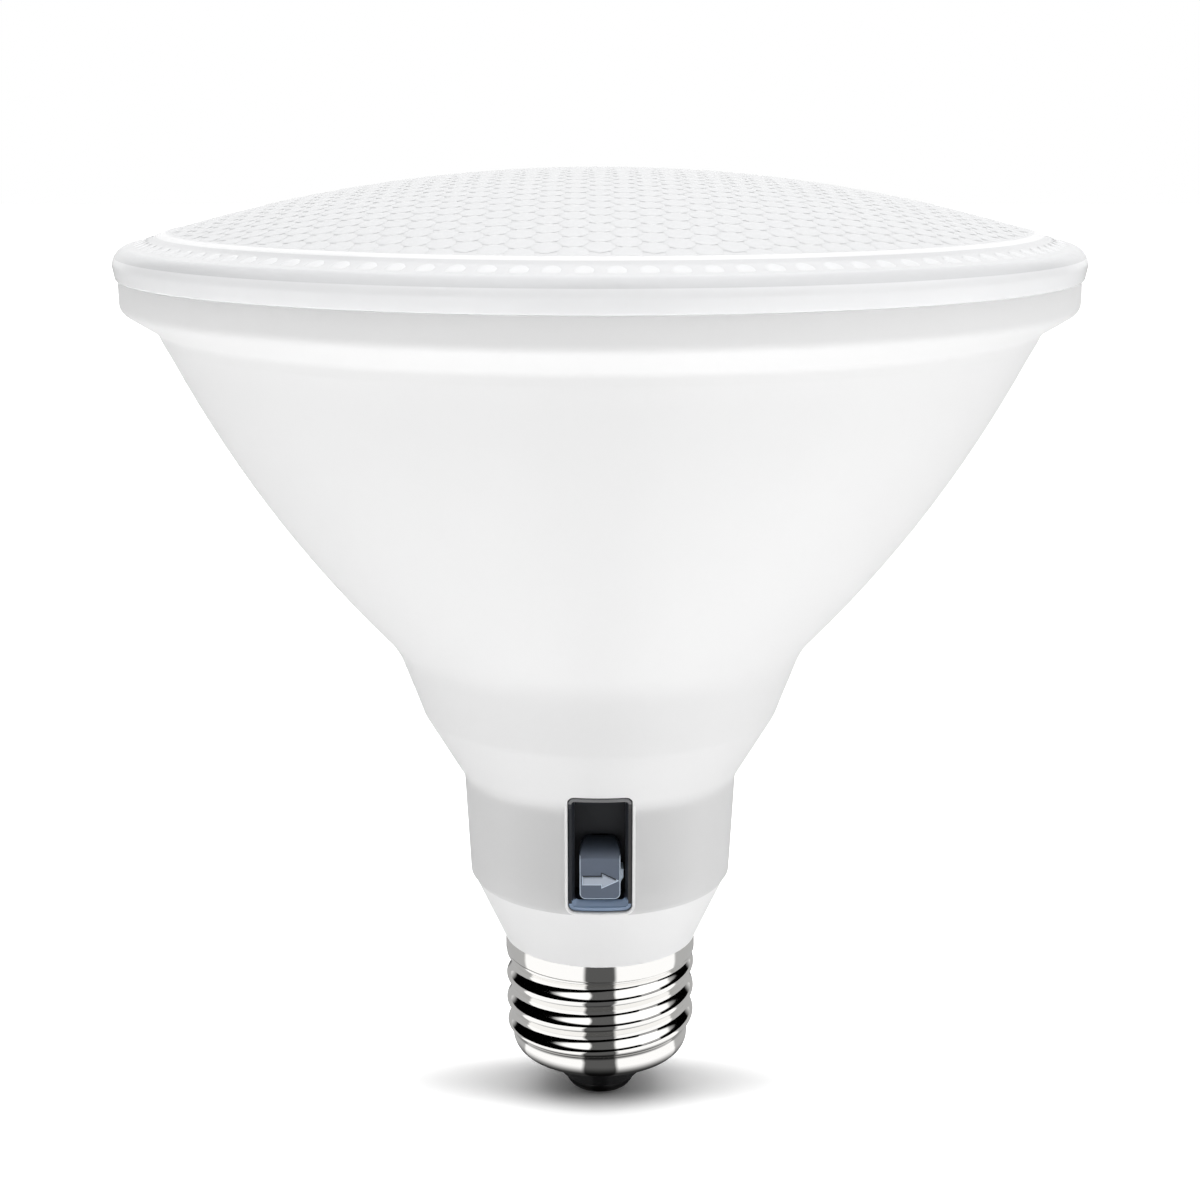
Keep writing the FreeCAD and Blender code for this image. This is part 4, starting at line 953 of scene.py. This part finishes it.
neck_painted_shade = grained("neck white painted shade", (0.87, 0.87, 0.87), 0.42, 3500, 0.03)
neck_tree = neck_painted_shade.node_tree
neck_place = object_place(neck_tree)
level = vector_node(neck_tree, "MULTIPLY", neck_place, (1, 1, 0))
away = vector_node(neck_tree, "DISTANCE", level, WINDOW_PLACE)
near = smooth_step(neck_tree, away, *WINDOW_SHADE)
shaded_tone = math_node(neck_tree, "MULTIPLY", near, NECK_SHADE_TONE[0])
neck_height = separated(neck_tree, neck_place)["Z"]
painted_neck_shade = smooth_step(neck_tree, neck_height, *NECK_SHADE_HEIGHTS, shaded_tone, NECK_SHADE_TONE[1])
fill(neck_tree.nodes["Group"], {"Colour": painted_neck_shade})
neck = merged_copy("neck_moulding", "neck")
dressed(neck, "neck white painted shade", "lamp", "body_white", "neck", smooth=32)

# %% [markdown]
# Round the window's mouth the moulding has a fine raised edge. It is a thin round bead along the
# window's outline, laid on the neck's wall. Its whiter finish is a painted highlight.

# %% Window edge
NECK_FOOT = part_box("neck")[0].z / MM
NECK_TOP = 47.0
NECK_RADII = (17.7, 18.4)
WINDOW_HALF = 4.2
WINDOW_FOOT = NECK_FOOT + 0.6
WINDOW_TOP = WINDOW_FOOT + 16.4
WINDOW_CORNER = 1.0
# Above the neck's top the wall flares out, at first by a share of the flare's slope.
FLARE_RUN = 5.3
FLARE_RISE = 9.0
FLARE_START = 0.6
LONG_SIDE = 3
SIDE_CUTS = 24
EDGE_RADIUS = 0.21
EDGE_GROWTH = 0.16


def neck_front(x, z):
    """How far in front of the axis the neck's wall is at a place in the window's plane."""
    share = (z - NECK_FOOT) / (NECK_TOP - NECK_FOOT)
    radius = NECK_RADII[0] + (NECK_RADII[1] - NECK_RADII[0]) * min(share, 1.0)
    if share > 1.0:
        radius += (z - NECK_TOP) * FLARE_RUN / FLARE_RISE * FLARE_START
    return math.sqrt(radius * radius - x * x)


def window_outline(name, growth, front):
    """The window's outline as a closed line, grown by an amount, at the depth of a rule."""
    clear_selection()
    bpy.ops.mesh.primitive_plane_add(size=2 * MM)
    line = bpy.context.object
    line.name = name
    half_height = (WINDOW_TOP - WINDOW_FOOT) / 2 + growth
    edit_mode()
    bpy.ops.transform.resize(value=(WINDOW_HALF + growth, half_height, 1))
    corner = (WINDOW_CORNER + growth) * MM
    bpy.ops.mesh.bevel(offset=corner, segments=6, affect="VERTICES", offset_type="OFFSET")
    select_all()
    bpy.ops.mesh.delete(type="ONLY_FACE")
    bpy.ops.mesh.select_mode(type="EDGE")
    select_none()
    object_mode()
    for side in line.data.edges:
        first, second = (line.data.vertices[i].co for i in side.vertices)
        side.select = (first - second).length > LONG_SIDE * MM
    edit_mode()
    bpy.ops.mesh.subdivide(number_cuts=SIDE_CUTS)
    object_mode()
    for point in line.data.vertices:
        x = point.co.x / MM
        z = point.co.y / MM + (WINDOW_FOOT + WINDOW_TOP) / 2
        point.co = Vector((x, -front(x, z), z)) * MM
    return line


def beaded(line, thickness):
    """Turns a line of edges into a round bead."""
    bpy.ops.object.convert(target="CURVE")
    line.data.bevel_depth = thickness * MM
    line.data.bevel_resolution = 3
    bpy.ops.object.convert(target="MESH")
    return line


edge = beaded(window_outline("window_edge", EDGE_GROWTH, neck_front), EDGE_RADIUS)
# The bead's whiter white is a painted highlight on the window's edge.
dressed(edge, "window edge white", "lamp", "body_white", smooth=60)

# %% [markdown]
# ## The screw shell
#
# The shell is thin sheet, rolled into a round thread. A circle is extruded upwards in many rows,
# and each point's radius is then set from the thread's wave, which climbs one pitch a turn and
# dies away towards the plain bands. The sheet's thickness comes from a Solidify modifier. A Screw
# modifier could wind the thread too, but not let it run out into the bands.

# %% The thread's wave
PITCH = 3.629
ROOT = 12.15
CREST = 13.0
BAND_RADIUS = 13.05
BAND_STEP = 0.1
THREAD_START = 0.75
THREAD_FOOT = 9.0
BAND_FOOT = 21.1
BASE_HEIGHT = 23.4
ROOT_PLACE = 16.35
RUN_IN = 0.45
RUN_OUT = 0.3


def eased(share):
    """Goes smoothly from 0 to 1."""
    share = min(max(share, 0.0), 1.0)
    return share * share * (3 - 2 * share)


def thread_radius(angle, height):
    """The outer radius of the rolled thread, from its place round the axis and its height."""
    climb = PITCH * (angle / (2 * math.pi) - THREAD_START)
    phase = 2 * math.pi * (height - ROOT_PLACE - climb) / PITCH
    swing = (CREST - ROOT) / 2
    wave = ROOT + swing - swing * math.cos(phase)
    start = eased((height - THREAD_FOOT) / (PITCH * RUN_IN))
    end = eased((BAND_FOOT - height) / (PITCH * RUN_OUT))
    radius = ROOT + (wave - ROOT) * start
    return BAND_RADIUS - BAND_STEP + (radius - BAND_RADIUS + BAND_STEP) * end


print("root, mm:", round(thread_radius(0, ROOT_PLACE - THREAD_START * PITCH), 3))

# %% Screw shell
SHELL_COLUMNS = 216
THREAD_ROWS = 64
SHEET = 0.35
SHEET_CLEAR = 0.05
LIP_ROUND = 2.4
LIP_FOOT = 6.2
LIP_RADIUS = 9.5
LIP_STEPS = 7
HAIR = 0.001

band_rows = [(BAND_RADIUS - 0.12, 21.12), (BAND_RADIUS - 0.04, 21.2), (BAND_RADIUS, 21.3)]
band_rows += [(BAND_RADIUS, 22.2), (BAND_RADIUS, 23.25), (BAND_RADIUS - 0.03, BASE_HEIGHT)]
lip_rows = [(LIP_RADIUS, LIP_FOOT)]
for step in range(LIP_STEPS + 1):
    tilt = math.radians(90 * step / LIP_STEPS)
    reach = ROOT - LIP_ROUND + LIP_ROUND * math.sin(tilt)
    lip_rows.append((reach, LIP_FOOT + LIP_ROUND - LIP_ROUND * math.cos(tilt)))
thread_rows = [
    (ROOT, THREAD_FOOT + (BAND_FOOT - THREAD_FOOT) * row / THREAD_ROWS)
    for row in range(THREAD_ROWS + 1)
]
shell = turned("screw_shell_sheet", lip_rows + thread_rows + band_rows, steps=SHELL_COLUMNS)
for point in shell.data.vertices:
    height = point.co.z / MM
    if THREAD_FOOT <= height <= BAND_FOOT + HAIR:
        angle = math.atan2(point.co.y, point.co.x) % (2 * math.pi)
        reach = thread_radius(angle, height) * MM
        point.co.x = reach * math.cos(angle)
        point.co.y = reach * math.sin(angle)
thickness = shell.modifiers.new("sheet", "SOLIDIFY")
thickness.thickness = (SHEET - SHEET_CLEAR) * MM
thickness.offset = -1
bpy.ops.object.modifier_apply(modifier=thickness.name)
dressed(shell, "nickel plate", "lamp", "shell_nickel", "screw_shell", smooth=60)

# %% [markdown]
# ## Insulator and tip contact
#
# A black glass-like cone closes the shell, and the tip contact sits in it like a shallow bowl. Both
# are turned, with a small bead where the cone meets the shell's lip, which draws the thin bright
# line in the photo.

# %% Insulator and contact
insulator_points = rounded(
    [
        (1.65, 2.0),
        (4.9, 2.0, 0.5),
        (6.2, 3.4, 0.6),
        (9.25, 6.1, 0.25),
        (9.3, 6.65),
        (9.7, 6.65),
        (11.35, 8.6),
        (11.35, 10.2),
        (1.65, 10.2),
    ]
)
insulator = turned("insulator_cone", insulator_points + insulator_points[:1], steps=96)
dressed(insulator, "insulator black", "lamp", "insulator_black", "base_insulator", smooth=40)
contact_points = rounded(
    [
        (0.0, 0.0),
        (2.5, 0.0, 0.5),
        (4.1, 0.75, 0.8),
        (4.6, 1.4, 0.25),
        (4.6, 2.0, 0.15),
        (1.5, 2.0),
        (1.5, 10.4),
        (0.6, 10.4),
        (0.6, 3.0),
        (0.0, 3.0),
    ]
)
contact = turned("tip_contact", contact_points, steps=96)
# The tip's near-black metal is partly painted shade.
dressed(contact, "tip metal", "lamp", "contact_metal", "centre_contact", smooth=40)

# %% [markdown]
# ## Switch tub and knob
#
# Both are small mouldings with crisp faces and softened edges, and light on those edges is what
# shows their shape. Their solids are exact, so each is a merged copy whose flat faces are first
# made whole with a limited dissolve, and whose sharp edges are then bevelled. The knob's bevels get
# a lighter finish, a painted highlight.

# %% Softened edges
FLAT = math.radians(0.5)
SHARP = math.radians(28)


def soften(piece, width, segments, finish, picks):
    """Bevels the sharp edges that a test picks, and gives the new faces their own finish."""
    select_only(piece)
    edit_mode()
    bpy.ops.mesh.select_mode(type="EDGE")
    select_all()
    bpy.ops.mesh.dissolve_limited(angle_limit=FLAT)
    select_none()
    bpy.ops.mesh.edges_select_sharp(sharpness=SHARP)
    object_mode()
    picked_edges = 0
    for side in piece.data.edges:
        ends = [piece.data.vertices[i].co / MM for i in side.vertices]
        side.select = side.select and picks(ends[0], ends[1])
        picked_edges += side.select
    edit_mode()
    bpy.ops.mesh.bevel(
        offset=width * MM,
        segments=segments,
        affect="EDGES",
        offset_type="OFFSET",
        clamp_overlap=True,
        material=finish,
    )
    object_mode()
    print(piece.name, "edges softened:", picked_edges)


print("sharp from, degrees:", round(math.degrees(SHARP)))

# %% [markdown]
# The tub's mouth ends in a thin lip just inside the window. It is the window's outline once more, a
# little smaller, extruded backwards and given a wall. Its top, foot and right side catch the light
# differently, so they carry painted light: lighter finishes of their own.

# %% The tub's lip
LIP_GROWTH = -0.34
LIP_DROP = 0.42
LIP_SETBACK = 0.45
LIP_REACH = 2.0
LIP_WALL = 0.4
# How far below the window's top or above its foot a part of the lip starts.
DROP_BELOW_TOP = 2
TOP_PART = 1.5
FOOT_PART = 1.1


def lip_front(x, z):
    """How far in front of the axis the tub's lip ends, all the way round."""
    return neck_front(x, z) - LIP_SETBACK


lip = window_outline("tub_lip", LIP_GROWTH, lip_front)
for point in lip.data.vertices:
    if point.co.z / MM > WINDOW_TOP - DROP_BELOW_TOP:
        point.co.z -= LIP_DROP * MM
edit_mode()
select_all()
bpy.ops.mesh.extrude_region_move(TRANSFORM_OT_translate={"value": (0, LIP_REACH * MM, 0)})
select_all()
bpy.ops.mesh.normals_make_consistent(inside=False)
object_mode()
sheet = lip.modifiers.new("wall", "SOLIDIFY")
sheet.thickness = LIP_WALL * MM
sheet.offset = 0
bpy.ops.object.modifier_apply(modifier=sheet.name)
finished(lip, "tub charcoal", "tub rim", "tub ledge", "tub frame")
# Painted light: the right side, the top and the foot get lighter copies of the charcoal.
for face in lip.data.polygons:
    if face.center.x > 0:
        face.material_index = 3
    if face.center.z / MM > WINDOW_TOP - TOP_PART:
        face.material_index = 1
    if face.center.z / MM < WINDOW_FOOT + FOOT_PART:
        face.material_index = 2
dressed(lip, "tub charcoal", "lamp", "tub_charcoal", smooth=35)

# %% The tub
TUB_FRONT = -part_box("switch_bezel")[0].y / MM
RIM_DEPTH = 1.15
LEDGE_DEPTH = 1.2
LEDGE_TOP = 1.3
LOOKS_UP = 0.2

tub = merged_copy("switch_tub", "switch_bezel")
finished(tub, "tub charcoal", "tub ledge")


def on_tub_rim(first, second):
    return min(-first.y, -second.y) > TUB_FRONT - RIM_DEPTH


soften(tub, width=0.05, segments=2, finish=0, picks=on_tub_rim)
# Painted light: the upward faces at the tub's foot get the lighter ledge finish.
for face in tub.data.polygons:
    if -face.center.y / MM < TUB_FRONT - LEDGE_DEPTH:
        continue
    if face.center.z / MM < WINDOW_FOOT + LEDGE_TOP and face.normal.z > LOOKS_UP:
        face.material_index = 1
dressed(tub, "tub charcoal", "lamp", "tub_charcoal", "switch_bezel", smooth=35)

# %% [markdown]
# The knob's crown stands in the tub's shade, so its slate darkens with the height. The crown also
# narrows towards its top. The soft edges come first, then level cuts through the crown, whose
# points are drawn in along a curve.

# %% The knob's finish
CROWN_FADE = (39.9 * MM, 42.0 * MM, 1.0, 0.3)

slate_tree = FINISHES["knob slate"].node_tree
slate_grain = slate_tree.nodes["Group"]
slate_height = separated(slate_tree, object_place(slate_tree))["Z"]
faded = vector_node(slate_tree, "SCALE", slate_grain.inputs["Colour"].default_value[:3])
fill(faded.node, {"Scale": smooth_step(slate_tree, slate_height, *CROWN_FADE)})
fill(slate_grain, {"Colour": faded})
print("crown fades to:", CROWN_FADE[-1])

# %% The knob's soft edges
KNOB_HALF = 2.65
KNOB_CREASE = 40.1
ARROW_RELIEF = 0.25
KNOB_FRONT = -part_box("switch_knob")[0].y / MM - ARROW_RELIEF
KNOB_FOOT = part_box("switch_knob")[0].z / MM
FOOT_EDGE = 0.85
CLOSE = 0.05
IN_FACE = 0.02

knob = merged_copy("switch_slider", "switch_knob")
finished(knob, "knob slate", "knob edges")


def on_knob_face(first, second):
    """The edges round the knob's front face and the sides of its crown."""
    at_side = min(first.x * second.x, KNOB_HALF**2) > (KNOB_HALF - CLOSE) ** 2
    near_foot = max(first.z, second.z) < KNOB_FOOT + FOOT_EDGE
    reaches = (-first.y, -second.y)
    front = min(reaches) > KNOB_FRONT - IN_FACE and max(reaches) < KNOB_FRONT + IN_FACE
    crown = min(first.z, second.z) > KNOB_CREASE - CLOSE
    return (front and (at_side or near_foot)) or (crown and at_side)


# Painted highlight: the bevels round the knob's face get the lighter edge finish.
soften(knob, width=0.3, segments=3, finish=1, picks=on_knob_face)

# %% The knob's crown and colours
CROWN_TOP = 42.0
CROWN_DRAWN_IN = 0.34
CROWN_CURVE = 3.0
CROWN_CUTS = (40.5, 40.9, 41.2, 41.5, 41.8)
NUB_REACH = 0.1

edit_mode()
for cut in CROWN_CUTS:
    select_all()
    bpy.ops.mesh.bisect(plane_co=(0, 0, cut * MM), plane_no=(0, 0, 1))
object_mode()
for point in knob.data.vertices:
    share = (point.co.z / MM - KNOB_CREASE) / (CROWN_TOP - KNOB_CREASE)
    if share > 0:
        point.co.x *= 1 - CROWN_DRAWN_IN * share**CROWN_CURVE
finished(knob, "arrow grey")
# The nub's faces also get the painted highlight of the edges.
for face in knob.data.polygons:
    if -face.center.y / MM > KNOB_FRONT + CLOSE:
        face.material_index = 2
    if face.center.x / MM > KNOB_HALF + NUB_REACH:
        face.material_index = 1
    if face.center.z / MM > CROWN_CUTS[0]:
        face.material_index = 0
dressed(knob, "knob slate", "knob", "knob_slate", "switch_knob", smooth=35)

# %% [markdown]
# Above the raised arrow runs a fine dark line, the arrow's shadow. It is a painted shadow: a thin
# bead of the dark charcoal along the upper outline of the arrow.

# %% Arrow's painted shadow line
ARROW_SHADOW_LINE = ((-2.25, 37.66), (0.2, 37.66), (0.2, 38.1), (2.05, 37.2))
ARROW_SHADOW_LINE_RADIUS = 0.09

arrow_shadow_line = drawn("arrow_shadow_line", ARROW_SHADOW_LINE, KNOB_FRONT)
object_mode()
arrow_shadow_line = beaded(arrow_shadow_line, ARROW_SHADOW_LINE_RADIUS)
dressed(arrow_shadow_line, "tub charcoal", "knob", "knob_slate", smooth=60)

# %% [markdown]
# ## Finishes of the solids
#
# The other solids are right as they are, so they only get their material. The solids that a new
# piece stands for get theirs too. No mesh is touched.

# %% Give the solids their materials
SOLID_FINISHES = {
    "lens": "lens white",
    "lens_gasket": "gasket grey",
    "neck": "body white",
    "housing": "body white",
    "heat_sink": "pressed aluminium",
    "thermal_pad": "pad grey",
    "led_board": "board white",
    "led_chips": "phosphor yellow",
    "led_board_screws": "zinc steel",
    "led_socket": "socket white",
    "reflector": "reflector white",
    "base_collar": "collar white",
    "screw_shell": "nickel plate",
    "base_insulator": "insulator black",
    "centre_contact": "tip metal",
    "switch_bezel": "tub charcoal",
    "switch_knob": "knob slate",
    "switch_body": "switch black",
    "switch_wiper": "spring brass",
    "driver_board": "board green",
    "transformer_core": "ferrite",
    "transformer_bobbin": "tape yellow",
    "input_capacitor": "can black",
    "output_capacitor": "can black",
    "choke_core": "ferrite",
    "choke_coil": "copper wire",
    "film_capacitor": "film red",
    "bridge_rectifier": "switch black",
    "controller_chip": "switch black",
    "fuse_resistor": "fuse green",
    "live_lead": "wire red",
    "neutral_lead": "wire white",
    "led_leads": "wire red",
}

for name, finish in SOLID_FINISHES.items():
    nodes[name].data.materials.clear()
    finished(nodes[name], finish)
print("solids finished:", len(SOLID_FINISHES), "of", len(nodes))
